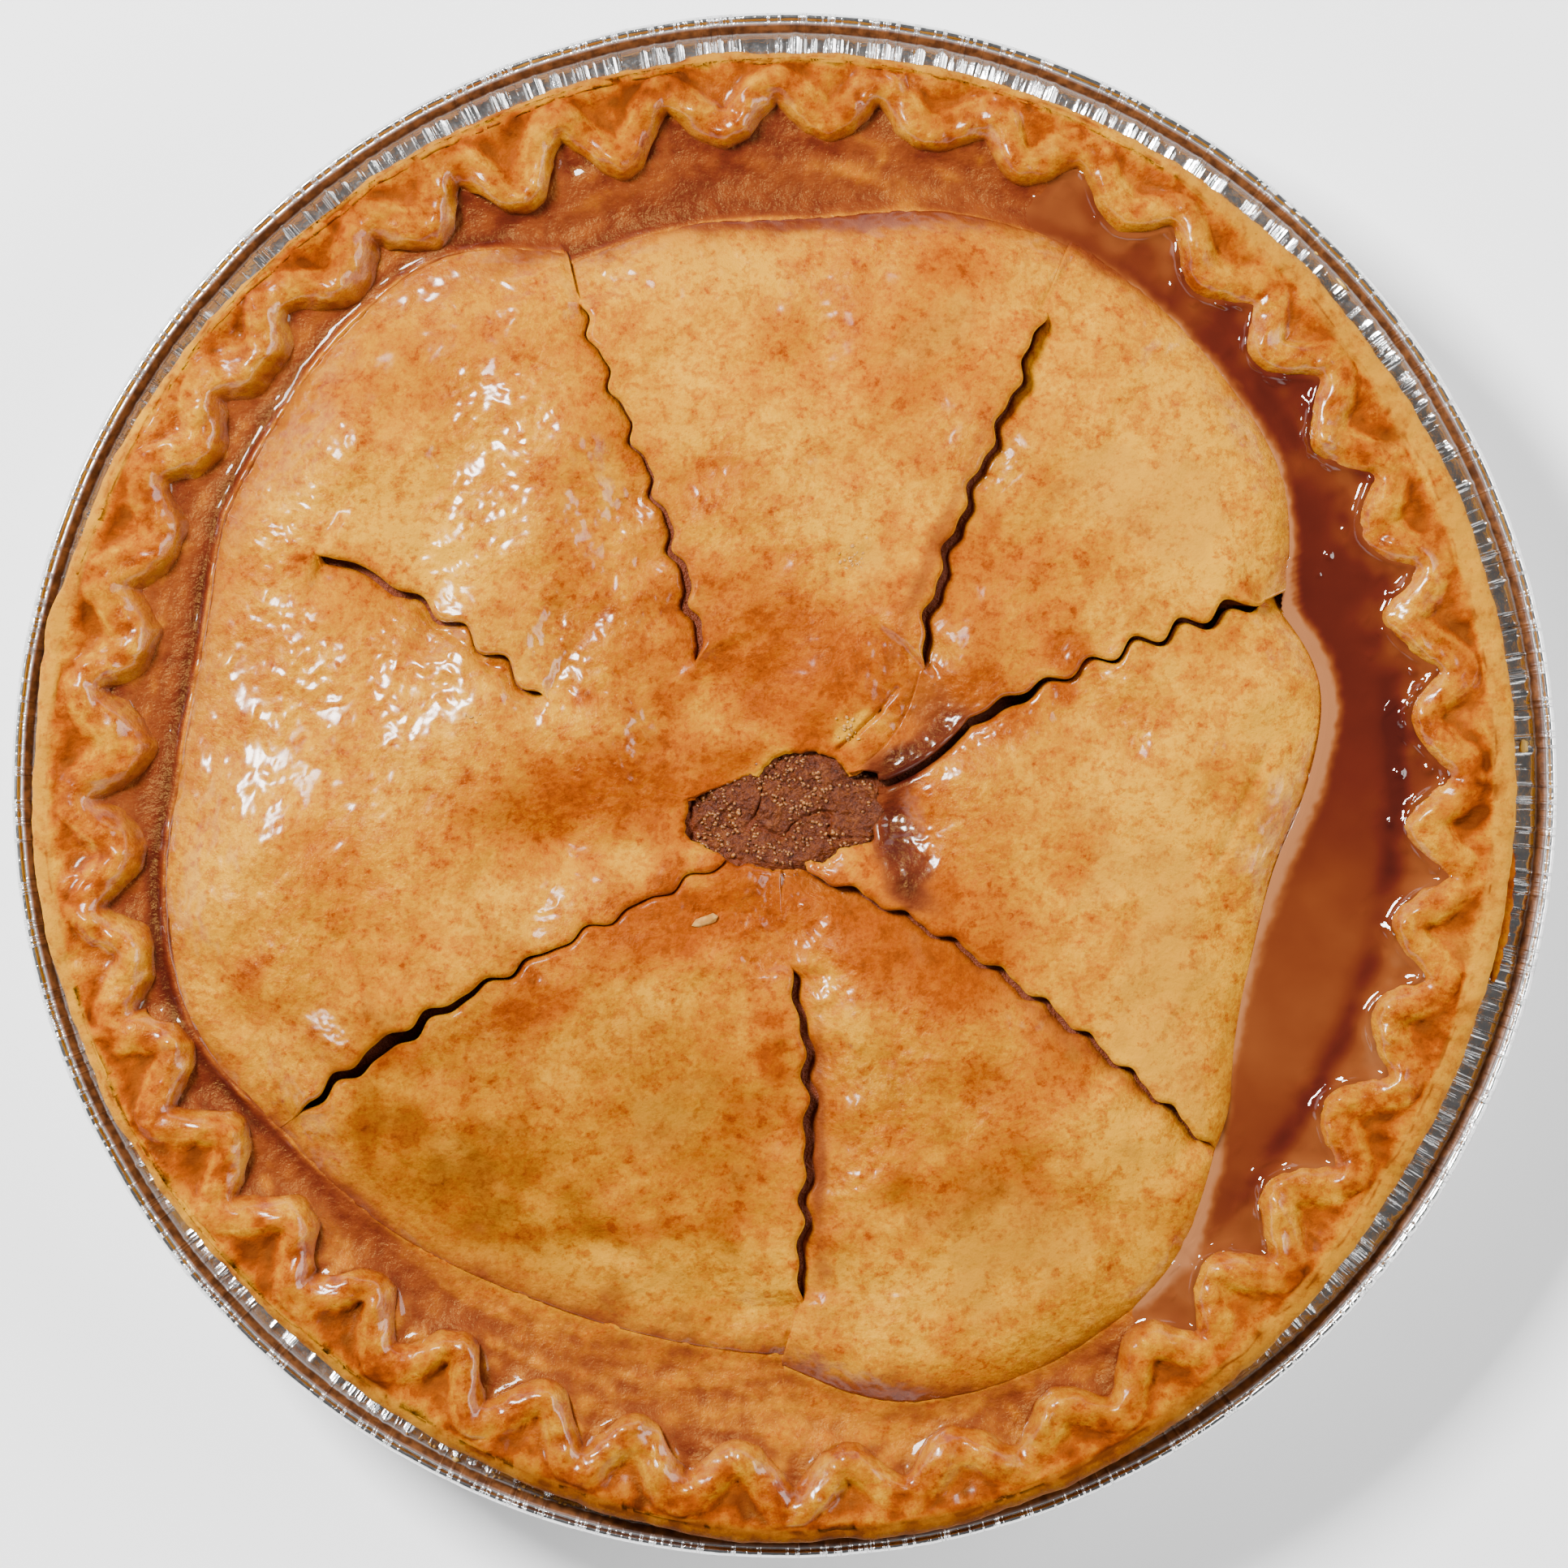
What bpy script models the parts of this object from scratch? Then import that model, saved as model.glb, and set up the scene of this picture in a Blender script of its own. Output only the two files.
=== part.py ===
"""Covered apple pie in its pleated foil tin, as four closed solids.

Lengths are in millimetres and are turned into metres once, where a mesh is stored. The origin is the centre of
the tin's flat base, +Z is up. The lid is one height function of distance and angle from the centre: rim band,
zigzag crimp, moat, domed middle with its bulges. Its seven slits and the middle hole are cut out afterwards.
"""

import math

import bmesh
import bpy
import numpy as np

MM = 0.001
GAP = 0.3

# Tin
FOIL = 0.6
TIN_RADIUS = 125.0
TIN_BASE_RADIUS = 92.0
TIN_WALL_TOP_RADIUS = 116.6
FLANGE_HEIGHT = 33.0
PLEATS = 88
PLEAT_DEPTH = 0.9
TIN_COLUMNS = 88
FLANGE_INNER_RADIUS = TIN_WALL_TOP_RADIUS + 0.8
BEAD_INNER_RADIUS = TIN_RADIUS - 3.6
WALL_FOOT_HEIGHT, WALL_HEAD_HEIGHT = FOIL + 2.6, FLANGE_HEIGHT - 0.8
# The rolled bead, from its inner side over the top and back under itself: inset from the tin's radius, height
BEAD_PROFILE = [
    (2.4, 1.3), (1.3, 1.9), (0.3, 1.4), (0.0, 0.5), (0.5, -0.8), (1.1, -0.3), (1.2, 0.9), (2.1, 0.6),
]

# Pastry case under the filling
CASE_THICKNESS = 3.0
CASE_FLANGE_THICKNESS = 2.0
CASE_SETBACK = 1.4
CASE_LARGEST_RADIUS = 120.6
CASE_COLUMNS = 60
CASE_CORNER_RADIUS, CASE_WALL_HEAD_RADIUS = 112.8, 110.6
CASE_EDGE_BULGE = 0.4

# Top crust
LID_UNDERSIDE_AT_RIM = 35.6
LID_UNDERSIDE_AT_MOAT = 34.0
LID_THICKNESS = 3.2
# Where the underside climbs from the moat onto the pastry case's edge
CLIMB_START_RADIUS, CLIMB_END_RADIUS = 107.5, 111.5
MOAT_FLOOR = 36.9
BAND_HEIGHT = 40.3
BAND_WIDTH = 4.6
CRIMPS = 40
CRIMP_PHASE = 5.6
CRIMP_RISE = 5.2
CRIMP_HALF_WIDTH = 3.1
CRIMP_OUTER_INSET = 6.2
POCKET_DEPTH = 2.4
COLUMNS_PER_CRIMP = 6
EDGE_BEVEL, EDGE_DROP, EDGE_UNDERCUT = 1.5, 0.3, 0.8
# Rings of the dome's top: columns and radius in the middle, then inset from the dome's foot
DOME_RINGS = [(20, 12), (40, 22), (40, 32), (60, 44), (60, 56), (80, 68)]
DOME_FOOT_INSETS = (12, 6.5, 2.8, 0.8, -0.6)
# Rings shared by the dome's underside and the filling under it: columns, radius
UNDER_DOME_RINGS = [(40, 64), (40, 40), (20, 18), (12, 7)]
UNDER_DOME_COLUMNS, UNDER_DOME_INSET = 60, 7
DOME_STEP = 6.2
DOME_STEP_LENGTH = 4.2
DOME_CROWN = 4.6
SLIT_LIP_DIP = 0.9
SLIT_LIP_REACH = 4.5

# Outer edge of the crust: angle in degrees, radius
CRUST_EDGE = [
    (0, 117.8), (60, 118.6), (105, 117.7), (130, 118.6), (150, 120.0), (190, 121.7), (208, 119.9), (225, 118.8),
    (255, 120.0), (264, 122.2), (288, 122.4), (305, 119.9), (330, 117.7),
]
# Middle line of the zigzag at its inner tips: angle in degrees, radius
CRIMP_INNER = [
    (0, 104.0), (100, 104.0), (125, 108.0), (170, 109.0), (190, 107.4), (270, 108.4), (295, 108.0), (330, 104.8),
]
# Flaps of the lid between two slits: first and last angle, then evenly spaced radii of the dome's foot
FLAPS = {
    "right": (319.5, 381.5, (92.0, 84.2, 81.0, 80.9, 85.5, 88.8, 84.5)),
    "upper_right": (21.5, 62.0, (88.0, 95.2, 97.3, 98.7, 99.3)),
    "top": (62.0, 112.5, (98.5, 95.9, 91.6, 91.6, 91.0)),
    "upper_left": (112.5, 154.0, (93.0, 101.5, 102.2, 101.0, 100.3)),
    "left": (154.0, 214.0, (100.3, 96.8, 97.6, 101.6, 103.3, 98.8)),
    "lower_left": (214.0, 270.0, (98.5, 95.9, 92.5, 91.4, 91.8)),
    "lower_right": (270.0, 319.5, (93.5, 100.8, 102.6, 102.0, 99.6, 92.0)),
}
FLAP_CORNER = 1.0
# Bulges of the dome: x, y, radius, rise
BULGES = [
    (-72.0, 0.0, 21.0, 1.7), (-48.0, 52.0, 21.0, 1.4), (3.0, 56.0, 18.0, 0.8), (53.0, 44.0, 20.0, 1.3),
    (29.0, -6.0, 12.0, 1.1), (64.0, -4.0, 15.0, 0.9), (30.0, -62.0, 22.0, 1.2), (-30.0, -58.0, 22.0, 1.2),
    (0.0, -5.0, 12.0, -1.6),
]
# Slits of the lid. Each runs from its outer to its inner end, bows sideways by bow and skew, and carries two
# waves (height, length, phase in degrees). Its half width is given outside, in the middle and inside.
SLITS = {
    "upper_left": ((-33.6, 77.0), (-12.7, 18.0), 1.7, 1.2, ((0.6, 9.2, -40), (0.5, 4.7, 80)), (0.4, 0.7, 0.9)),
    "upper_right": ((41.5, 76.6), (21.1, 17.4), -1.3, -2.0, ((0.6, 11.5, 30), (0.5, 4.7, 0)), (0.4, 1.1, 0.9)),
    "right": ((76.7, 29.5), (29.0, 9.6), -1.2, -0.3, ((0.6, 8.7, 50), (0.8, 7.7, -40)), (1.4, 1.0, 0.9)),
    "lower_right": ((68.2, -59.5), (3.5, -13.0), -3.8, -0.6, ((0.5, 9.0, -136), (0.5, 4.5, 100)), (0.4, 0.6, 0.8)),
    "bottom": ((2.4, -84.2), (0.3, -27.6), -2.6, -2.0, ((0.5, 10.0, 137), (0.6, 8.7, -152)), (0.6, 1.1, 0.8)),
    "lower_left": ((-77.0, -52.5), (-7.0, -10.0), 2.4, -1.4, ((0.5, 5.5, 74), (0.5, 4.5, -154)), (1.2, 1.4, 0.7)),
    "left": ((-74.2, 36.9), (-37.6, 12.8), 2.6, -0.2, ((0.8, 9.2, 120), (0.5, 7.7, -130)), (0.8, 0.7, 0.5)),
}
SLIT_STEP = 2.4
SLIT_END_NARROWING = 0.35
CUT_BELOW_MOAT, CUT_ABOVE_MOAT = 8, 20
# Outline of the hole in the middle, from its left end round by the top
HOLE = [
    (-15.0, -2.0), (-9.0, 0.0), (-4.0, 1.6), (0.5, 4.5), (7.0, 4.8), (10.0, 1.9), (14.7, 0.7), (14.2, -5.0),
    (14.6, -8.6), (8.5, -10.2), (5.2, -14.9), (2.8, -12.6), (-6.0, -12.6), (-10.0, -11.4), (-15.6, -9.0),
]
HOLE_MIDDLE = (0.0, -4.5)
FILLING_MOUND_RADIUS = 8.0
FILLING_MOUND_RISE = 1.5
FILLING_SETBACK = 3.4
FILLING_WALL_HEAD_RADIUS, FILLING_SHOULDER_RADIUS = 109.4, 106.5


def round_the_centre(table, degrees):
    """Values of a table by angle, smooth across the start of the circle."""
    angles = np.array([row[0] for row in table], float)
    values = np.array([row[1] for row in table], float)
    return np.interp(np.mod(degrees, 360), angles, values, period=360)


def smooth(low, high, value):
    t = np.clip((value - low) / (high - low), 0, 1)
    return t * t * (3 - 2 * t)


def crimp_position(degrees):
    """0 at the inner tip of the zigzag, 1 at its outer tip."""
    pitch = 360 / CRIMPS
    turn = np.mod((degrees - CRIMP_PHASE) / pitch + 0.5, 1) - 0.5
    return np.abs(2 * turn)


def ridge_radius(degrees):
    """Radius of the zigzag ridge's middle line."""
    inner = round_the_centre(CRIMP_INNER, degrees)
    outer = round_the_centre(CRUST_EDGE, degrees) - CRIMP_OUTER_INSET
    return inner + (outer - inner) * crimp_position(degrees)


def dome_foot(degrees):
    """Radius of the dome's foot, flap by flap, with its corners softened."""
    angles, radii = [], []
    for first, last, values in FLAPS.values():
        angles += np.linspace(first, last, 2 * len(values) - 1)[1:-1:2].tolist() + [first + 0.5, last - 0.5]
        middles = [(a + b) / 2 for a, b in zip(values, values[1:])]
        radii += middles + [values[0], values[-1]]
        angles += np.linspace(first, last, len(values))[1:-1].tolist()
        radii += values[1:-1]
    order = np.argsort(np.mod(angles, 360))
    angles, radii = np.mod(angles, 360)[order], np.array(radii)[order]
    turned = [degrees - FLAP_CORNER, degrees, degrees + FLAP_CORNER]
    return sum(np.interp(np.mod(turn, 360), angles, radii, period=360) for turn in turned) / len(turned)


def slit_line(first, last, bow, skew, waves):
    """Middle line of a slit: its chord, bowed and waved sideways."""
    first, last = np.array(first), np.array(last)
    length = math.dist(first, last)
    along = (last - first) / length
    t = np.linspace(0, 1, round(length / SLIT_STEP) + 1)
    aside = 4 * t * (1 - t) * (bow + skew * (2 * t - 1))
    for height, wave_length, phase in waves:
        aside = aside + height * np.sin(2 * math.pi * t * length / wave_length + math.radians(phase))
    return first + np.outer(t * length, along) + np.outer(aside, (-along[1], along[0]))


def slit_distance(x, y):
    """Distance to the nearest slit, sideways in the plan."""
    nearest = np.full(x.shape, 1e9)
    for first, last, bow, skew, waves, _ in SLITS.values():
        points = slit_line(first, last, bow, skew, waves)[::2]
        for (ax, ay), (bx, by) in zip(points, points[1:]):
            dx, dy = bx - ax, by - ay
            t = np.clip(((x - ax) * dx + (y - ay) * dy) / (dx * dx + dy * dy), 0, 1)
            nearest = np.minimum(nearest, np.hypot(x - ax - t * dx, y - ay - t * dy))
    return nearest


def lid_height(radius, degrees):
    """Top surface of the lid and its rim."""
    edge = round_the_centre(CRUST_EDGE, degrees)
    foot = dome_foot(degrees)
    ridge = ridge_radius(degrees)
    x = radius * np.cos(np.radians(degrees))
    y = radius * np.sin(np.radians(degrees))

    inward = np.maximum(foot - radius, 0)
    dome = DOME_STEP * (1 - np.exp(-inward / DOME_STEP_LENGTH))
    dome = dome + DOME_CROWN * np.clip(1 - (radius / foot) ** 2, 0, 1)
    for bx, by, size, rise in BULGES:
        dome = dome + rise * np.exp(-((x - bx) ** 2 + (y - by) ** 2) / size**2) * smooth(0, 8, inward)
    dome = dome - SLIT_LIP_DIP * np.exp(-((slit_distance(x, y) / SLIT_LIP_REACH) ** 2)) * smooth(0, 10, inward)

    floor = BAND_HEIGHT - POCKET_DEPTH
    outside_moat = smooth(foot + 2, ridge, radius)
    ground = MOAT_FLOOR + (floor - MOAT_FLOOR) * outside_moat
    band = smooth(edge - BAND_WIDTH - 1.5, edge - BAND_WIDTH + 0.5, radius)
    ground = ground + (BAND_HEIGHT - floor) * band
    across = np.clip(np.abs(radius - ridge) / CRIMP_HALF_WIDTH, 0, 1)
    crimp = (MOAT_FLOOR + CRIMP_RISE - ground) * np.cos(across * math.pi / 2) ** 1.3
    return np.where(radius < foot, MOAT_FLOOR + dome, ground + np.maximum(crimp, 0))


def lid_underside(radius, degrees):
    """Underside of the lid: parallel to the dome, then flat over the pastry case's edge."""
    foot = dome_foot(degrees)
    under_dome = lid_height(np.minimum(radius, foot), degrees) - LID_THICKNESS
    climb = smooth(CLIMB_START_RADIUS, CLIMB_END_RADIUS, radius)
    under_rim = LID_UNDERSIDE_AT_MOAT + (LID_UNDERSIDE_AT_RIM - LID_UNDERSIDE_AT_MOAT) * climb
    return np.where(radius < foot, np.maximum(under_dome, LID_UNDERSIDE_AT_MOAT), under_rim)


def ring(count, radius, height):
    """Points of a closed ring. Radius and height are numbers or functions of the angle in degrees."""
    degrees = np.arange(count) * 360 / count
    r = radius(degrees) if callable(radius) else np.full(count, float(radius))
    z = height(r, degrees) if callable(height) else np.full(count, float(height))
    return np.stack([r * np.cos(np.radians(degrees)), r * np.sin(np.radians(degrees)), z], axis=1)


def joined_rings(rings):
    """Faces between each ring and the next, whose counts may differ. A ring of one point is a pole."""
    points, faces, start = [], [], 0
    for index, here in enumerate(rings):
        points.append(here)
        if index + 1 < len(rings):
            n, m = len(here), len(rings[index + 1])
            after = start + n
            i = j = 0
            while i < n * (n > 1) or j < m * (m > 1):
                step_here = n > 1 and (m == 1 or j >= m or (i < n and (i + 1) * m <= (j + 1) * n))
                a, b = start + i % n, after + j % m
                if step_here:
                    faces.append((a, start + (i + 1) % n, b))
                    i += 1
                else:
                    faces.append((a, after + (j + 1) % m, b))
                    j += 1
        start += len(here)
    return np.concatenate(points), faces


def make_material(name, colour, metallic, roughness):
    material = bpy.data.materials.new(name)
    material.use_nodes = True
    shader = material.node_tree.nodes["Principled BSDF"]
    shader.inputs["Base Color"].default_value = (*colour, 1)
    shader.inputs["Metallic"].default_value = metallic
    shader.inputs["Roughness"].default_value = roughness
    return material


def make_object(name, points, faces, material=None):
    mesh = bpy.data.meshes.new(name)
    mesh.from_pydata((np.asarray(points) * MM).tolist(), [], faces)
    tidy = bmesh.new()
    tidy.from_mesh(mesh)
    bmesh.ops.recalc_face_normals(tidy, faces=tidy.faces)
    if tidy.calc_volume(signed=True) < 0:
        bmesh.ops.reverse_faces(tidy, faces=tidy.faces)
    tidy.to_mesh(mesh)
    tidy.free()
    obj = bpy.data.objects.new(name, mesh)
    bpy.context.scene.collection.objects.link(obj)
    if material:
        mesh.materials.append(material)
    return obj


def cut_away(obj, cutter):
    cutter.hide_render = True
    cutter.display_type = "WIRE"
    boolean = obj.modifiers.new(cutter.name, "BOOLEAN")
    boolean.operation = "DIFFERENCE"
    boolean.solver = "EXACT"
    boolean.object = cutter


def prism(name, outline, low, high):
    """Upright cutter over a closed outline."""
    count = len(outline)
    points = [(x, y, low) for x, y in outline] + [(x, y, high) for x, y in outline]
    faces = [(i, (i + 1) % count, (i + 1) % count + count, i + count) for i in range(count)]
    faces += [tuple(range(count)), tuple(range(count, 2 * count))]
    return make_object(name, points, faces)


def slit_outline(line, half_widths):
    """Both banks of a slit: its middle line moved sideways by a width that changes along it."""
    along = np.gradient(line, axis=0)
    along /= np.linalg.norm(along, axis=1)[:, None]
    sideways = np.stack([-along[:, 1], along[:, 0]], axis=1)
    half = np.interp(np.linspace(0, 2, len(line)), (0, 1, 2), half_widths)
    half[[0, -1]] *= SLIT_END_NARROWING
    left, right = line + sideways * half[:, None], line - sideways * half[:, None]
    return np.concatenate([left, right[::-1]]).tolist()


for old in list(bpy.data.objects):
    bpy.data.objects.remove(old)

# Foil tin: one thin shell of revolution whose wall is pleated, with a rolled bead at its edge
foil_on_slope = FOIL * 1.1


def pleated(mean):
    return lambda degrees: mean + PLEAT_DEPTH / 2 * np.where(np.arange(len(degrees)) % 2, 1, -1)


tin_rings = [
    ring(1, 0, FOIL),
    ring(TIN_COLUMNS, TIN_BASE_RADIUS - 2.2, FOIL),
    ring(2 * PLEATS, pleated(TIN_BASE_RADIUS + 0.4), WALL_FOOT_HEIGHT),
    ring(2 * PLEATS, pleated(TIN_WALL_TOP_RADIUS - foil_on_slope), WALL_HEAD_HEIGHT),
    ring(TIN_COLUMNS, FLANGE_INNER_RADIUS, FLANGE_HEIGHT),
    ring(TIN_COLUMNS, BEAD_INNER_RADIUS, FLANGE_HEIGHT),
    *[ring(TIN_COLUMNS, TIN_RADIUS - inset, FLANGE_HEIGHT + rise) for inset, rise in BEAD_PROFILE],
    ring(TIN_COLUMNS, BEAD_INNER_RADIUS + 0.3, FLANGE_HEIGHT - FOIL),
    ring(TIN_COLUMNS, FLANGE_INNER_RADIUS + 0.4, FLANGE_HEIGHT - FOIL),
    ring(2 * PLEATS, pleated(TIN_WALL_TOP_RADIUS), WALL_HEAD_HEIGHT - 0.8),
    ring(2 * PLEATS, pleated(TIN_BASE_RADIUS + 0.8), WALL_FOOT_HEIGHT - 1.0),
    ring(TIN_COLUMNS, TIN_BASE_RADIUS - 1.5, 0),
    ring(1, 0, 0),
]
foil = make_material("foil", (0.78, 0.78, 0.77), 1.0, 0.28)
make_object("foil_tin", *joined_rings(tin_rings), foil)

# Pastry case: floor, sloping wall and the layer folded over the tin's flange
case_floor = FOIL + GAP
case_floor_top = case_floor + CASE_THICKNESS
case_inner_floor_radius = TIN_BASE_RADIUS - CASE_THICKNESS - 1.5
case_flange_low = FLANGE_HEIGHT + GAP
case_flange_high = case_flange_low + CASE_FLANGE_THICKNESS
case_flange_middle = (case_flange_low + case_flange_high) / 2


def beside_tin_wall(height):
    """Radius of the pastry against the tin's pleated wall, a gap inside its deepest pleats."""
    up = (height - WALL_FOOT_HEIGHT) / (WALL_HEAD_HEIGHT - WALL_FOOT_HEIGHT)
    wall_foot = TIN_BASE_RADIUS + 0.4
    wall = wall_foot + up * (TIN_WALL_TOP_RADIUS - foil_on_slope - wall_foot)
    return wall - PLEAT_DEPTH / 2 - 2 * GAP


def case_edge(degrees):
    return np.minimum(round_the_centre(CRUST_EDGE, degrees) - CASE_SETBACK, CASE_LARGEST_RADIUS)


case_rings = [
    ring(1, 0, case_floor_top),
    ring(CASE_COLUMNS, case_inner_floor_radius - 3, case_floor_top),
    ring(CASE_COLUMNS, case_inner_floor_radius, case_floor_top + 2),
    ring(CASE_COLUMNS, CASE_WALL_HEAD_RADIUS, FLANGE_HEIGHT - 2),
    ring(CASE_COLUMNS, CASE_CORNER_RADIUS, case_flange_high),
    ring(CASE_COLUMNS, case_edge, case_flange_high),
    ring(CASE_COLUMNS, lambda degrees: case_edge(degrees) + CASE_EDGE_BULGE, case_flange_middle),
    ring(CASE_COLUMNS, case_edge, case_flange_low),
    ring(CASE_COLUMNS, FLANGE_INNER_RADIUS - 1.9, case_flange_low),
    ring(CASE_COLUMNS, beside_tin_wall(FLANGE_HEIGHT - 3), FLANGE_HEIGHT - 3),
    ring(CASE_COLUMNS, beside_tin_wall(FOIL + 2.8), FOIL + 2.8),
    ring(CASE_COLUMNS, TIN_BASE_RADIUS - 4.2, case_floor),
    ring(1, 0, case_floor),
]
baked_case = make_material("baked_case", (0.55, 0.33, 0.13), 0.0, 0.6)
make_object("bottom_crust", *joined_rings(case_rings), baked_case)

columns = CRIMPS * COLUMNS_PER_CRIMP
half_columns = columns // 2


def crust_edge(degrees):
    return round_the_centre(CRUST_EDGE, degrees)


def dome_edge(inset):
    return lambda degrees: dome_foot(degrees) - inset


def band_inner(degrees):
    return crust_edge(degrees) - BAND_WIDTH


def ridge_middle(degrees):
    return np.minimum(ridge_radius(degrees), band_inner(degrees) - 1.2)


def ridge_outer_foot(degrees):
    return np.minimum(ridge_radius(degrees) + CRIMP_HALF_WIDTH, band_inner(degrees) - 0.5)


def ridge_inner_foot(degrees):
    return ridge_radius(degrees) - CRIMP_HALF_WIDTH


def edge_top(radius, degrees):
    return np.full(len(degrees), BAND_HEIGHT - EDGE_DROP)


def phased(rings_of_points):
    """Rings whose columns start at a crimp's inner tip, so that tips and folds fall on columns."""
    turn = math.radians(CRIMP_PHASE)
    spin = np.array([[math.cos(turn), math.sin(turn), 0], [-math.sin(turn), math.cos(turn), 0], [0, 0, 1]])
    return [points @ spin for points in rings_of_points]


def lid_ring(count, radius, height=lid_height):
    """A ring whose angles are measured from the crimps' phase, before it is turned there."""
    def shifted_radius(degrees):
        return radius(degrees + CRIMP_PHASE) if callable(radius) else np.full(len(degrees), float(radius))

    def shifted_height(r, degrees):
        return height(r, degrees + CRIMP_PHASE) if callable(height) else np.full(len(degrees), float(height))

    return ring(count, shifted_radius, shifted_height)


# Filling: fills the case up to the lid, ring by ring under the lid's own, and shows through the hole and slits
filling_floor = case_floor_top + GAP
filling_shoulder = LID_UNDERSIDE_AT_MOAT - 2 * GAP


def filling_top(radius, degrees):
    x = radius * np.cos(np.radians(degrees)) - HOLE_MIDDLE[0]
    y = radius * np.sin(np.radians(degrees)) - HOLE_MIDDLE[1]
    mound = FILLING_MOUND_RISE * np.clip(1 - np.hypot(x, y) / FILLING_MOUND_RADIUS, 0, 1)
    return lid_underside(radius, degrees) - 2 * GAP + mound


filling_rings = phased([
    lid_ring(1, 0, filling_floor),
    lid_ring(CASE_COLUMNS, case_inner_floor_radius - FILLING_SETBACK, filling_floor),
    lid_ring(CASE_COLUMNS, case_inner_floor_radius - 0.5, filling_floor + 2),
    lid_ring(CASE_COLUMNS, FILLING_WALL_HEAD_RADIUS, FLANGE_HEIGHT - 2.6),
    lid_ring(CASE_COLUMNS, FILLING_SHOULDER_RADIUS, filling_shoulder),
    lid_ring(half_columns, dome_edge(0.2), filling_shoulder),
    lid_ring(UNDER_DOME_COLUMNS, dome_edge(UNDER_DOME_INSET), filling_top),
    *[lid_ring(count, radius, filling_top) for count, radius in UNDER_DOME_RINGS],
    lid_ring(1, 0, filling_top),
])
apple = make_material("apple", (0.36, 0.15, 0.04), 0.0, 0.35)
make_object("apple_filling", *joined_rings(filling_rings), apple)

# Top crust: rings that follow the dome's edge and the zigzag, an underside, then the slits and the hole
lid_rings = phased([
    lid_ring(1, 0),
    *[lid_ring(count, radius) for count, radius in DOME_RINGS],
    *[lid_ring(half_columns, dome_edge(inset)) for inset in DOME_FOOT_INSETS],
    *[lid_ring(columns, radius) for radius in (ridge_inner_foot, ridge_middle, ridge_outer_foot, band_inner)],
    lid_ring(half_columns, lambda degrees: crust_edge(degrees) - EDGE_BEVEL, edge_top),
    lid_ring(half_columns, crust_edge, (BAND_HEIGHT + LID_UNDERSIDE_AT_RIM) / 2),
    lid_ring(half_columns, lambda degrees: crust_edge(degrees) - EDGE_UNDERCUT, LID_UNDERSIDE_AT_RIM),
    lid_ring(CASE_COLUMNS, CLIMB_END_RADIUS + 0.5, LID_UNDERSIDE_AT_RIM),
    lid_ring(CASE_COLUMNS, CLIMB_START_RADIUS, LID_UNDERSIDE_AT_MOAT),
    lid_ring(half_columns, dome_edge(0.2), LID_UNDERSIDE_AT_MOAT),
    lid_ring(UNDER_DOME_COLUMNS, dome_edge(UNDER_DOME_INSET), lid_underside),
    *[lid_ring(count, radius, lid_underside) for count, radius in UNDER_DOME_RINGS],
    lid_ring(1, 0, lid_underside),
])
baked_lid = make_material("baked_lid", (0.62, 0.36, 0.13), 0.0, 0.45)
lid = make_object("top_crust", *joined_rings(lid_rings), baked_lid)
cut_low, cut_high = MOAT_FLOOR - CUT_BELOW_MOAT, MOAT_FLOOR + CUT_ABOVE_MOAT
for name, (first, last, bow, skew, waves, half_widths) in SLITS.items():
    outline = slit_outline(slit_line(first, last, bow, skew, waves), half_widths)
    cut_away(lid, prism("slit_" + name, outline, cut_low, cut_high))
cut_away(lid, prism("middle_hole", HOLE, cut_low, cut_high))
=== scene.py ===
"""Looks of the covered apple pie in its foil tin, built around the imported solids.

Lengths are in millimetres until a mesh is stored."""

import math
from collections import namedtuple

import bpy
import numpy as np
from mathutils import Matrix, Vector


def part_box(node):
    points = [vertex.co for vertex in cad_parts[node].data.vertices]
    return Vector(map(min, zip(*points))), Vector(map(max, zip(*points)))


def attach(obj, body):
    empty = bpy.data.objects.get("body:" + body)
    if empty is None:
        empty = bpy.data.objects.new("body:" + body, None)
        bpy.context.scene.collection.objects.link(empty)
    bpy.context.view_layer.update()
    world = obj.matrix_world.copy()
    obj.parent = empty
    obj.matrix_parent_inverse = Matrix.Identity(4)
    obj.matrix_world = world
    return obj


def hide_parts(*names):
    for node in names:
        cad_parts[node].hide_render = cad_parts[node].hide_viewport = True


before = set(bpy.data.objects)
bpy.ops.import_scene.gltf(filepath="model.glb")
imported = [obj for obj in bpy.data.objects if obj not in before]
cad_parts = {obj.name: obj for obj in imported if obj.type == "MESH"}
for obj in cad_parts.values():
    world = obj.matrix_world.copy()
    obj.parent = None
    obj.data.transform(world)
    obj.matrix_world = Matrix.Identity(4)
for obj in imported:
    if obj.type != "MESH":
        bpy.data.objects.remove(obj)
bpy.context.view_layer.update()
MM = 0.001


# Pleated foil tin
# The real one is pressed from one disc of thin aluminium foil: its wall and flange gather in fine uneven
# pleats and its edge is rolled outwards into a bead. Its inner side is painted brown all round: a painted
# reflection of the crust, and juice baked on.
def smooth(low, high, value):
    """0 below low, 1 above high, and 3t^2 - 2t^3 between them."""
    t = np.clip((value - low) / (high - low), 0, 1)
    return t * t * (3 - 2 * t)


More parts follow.
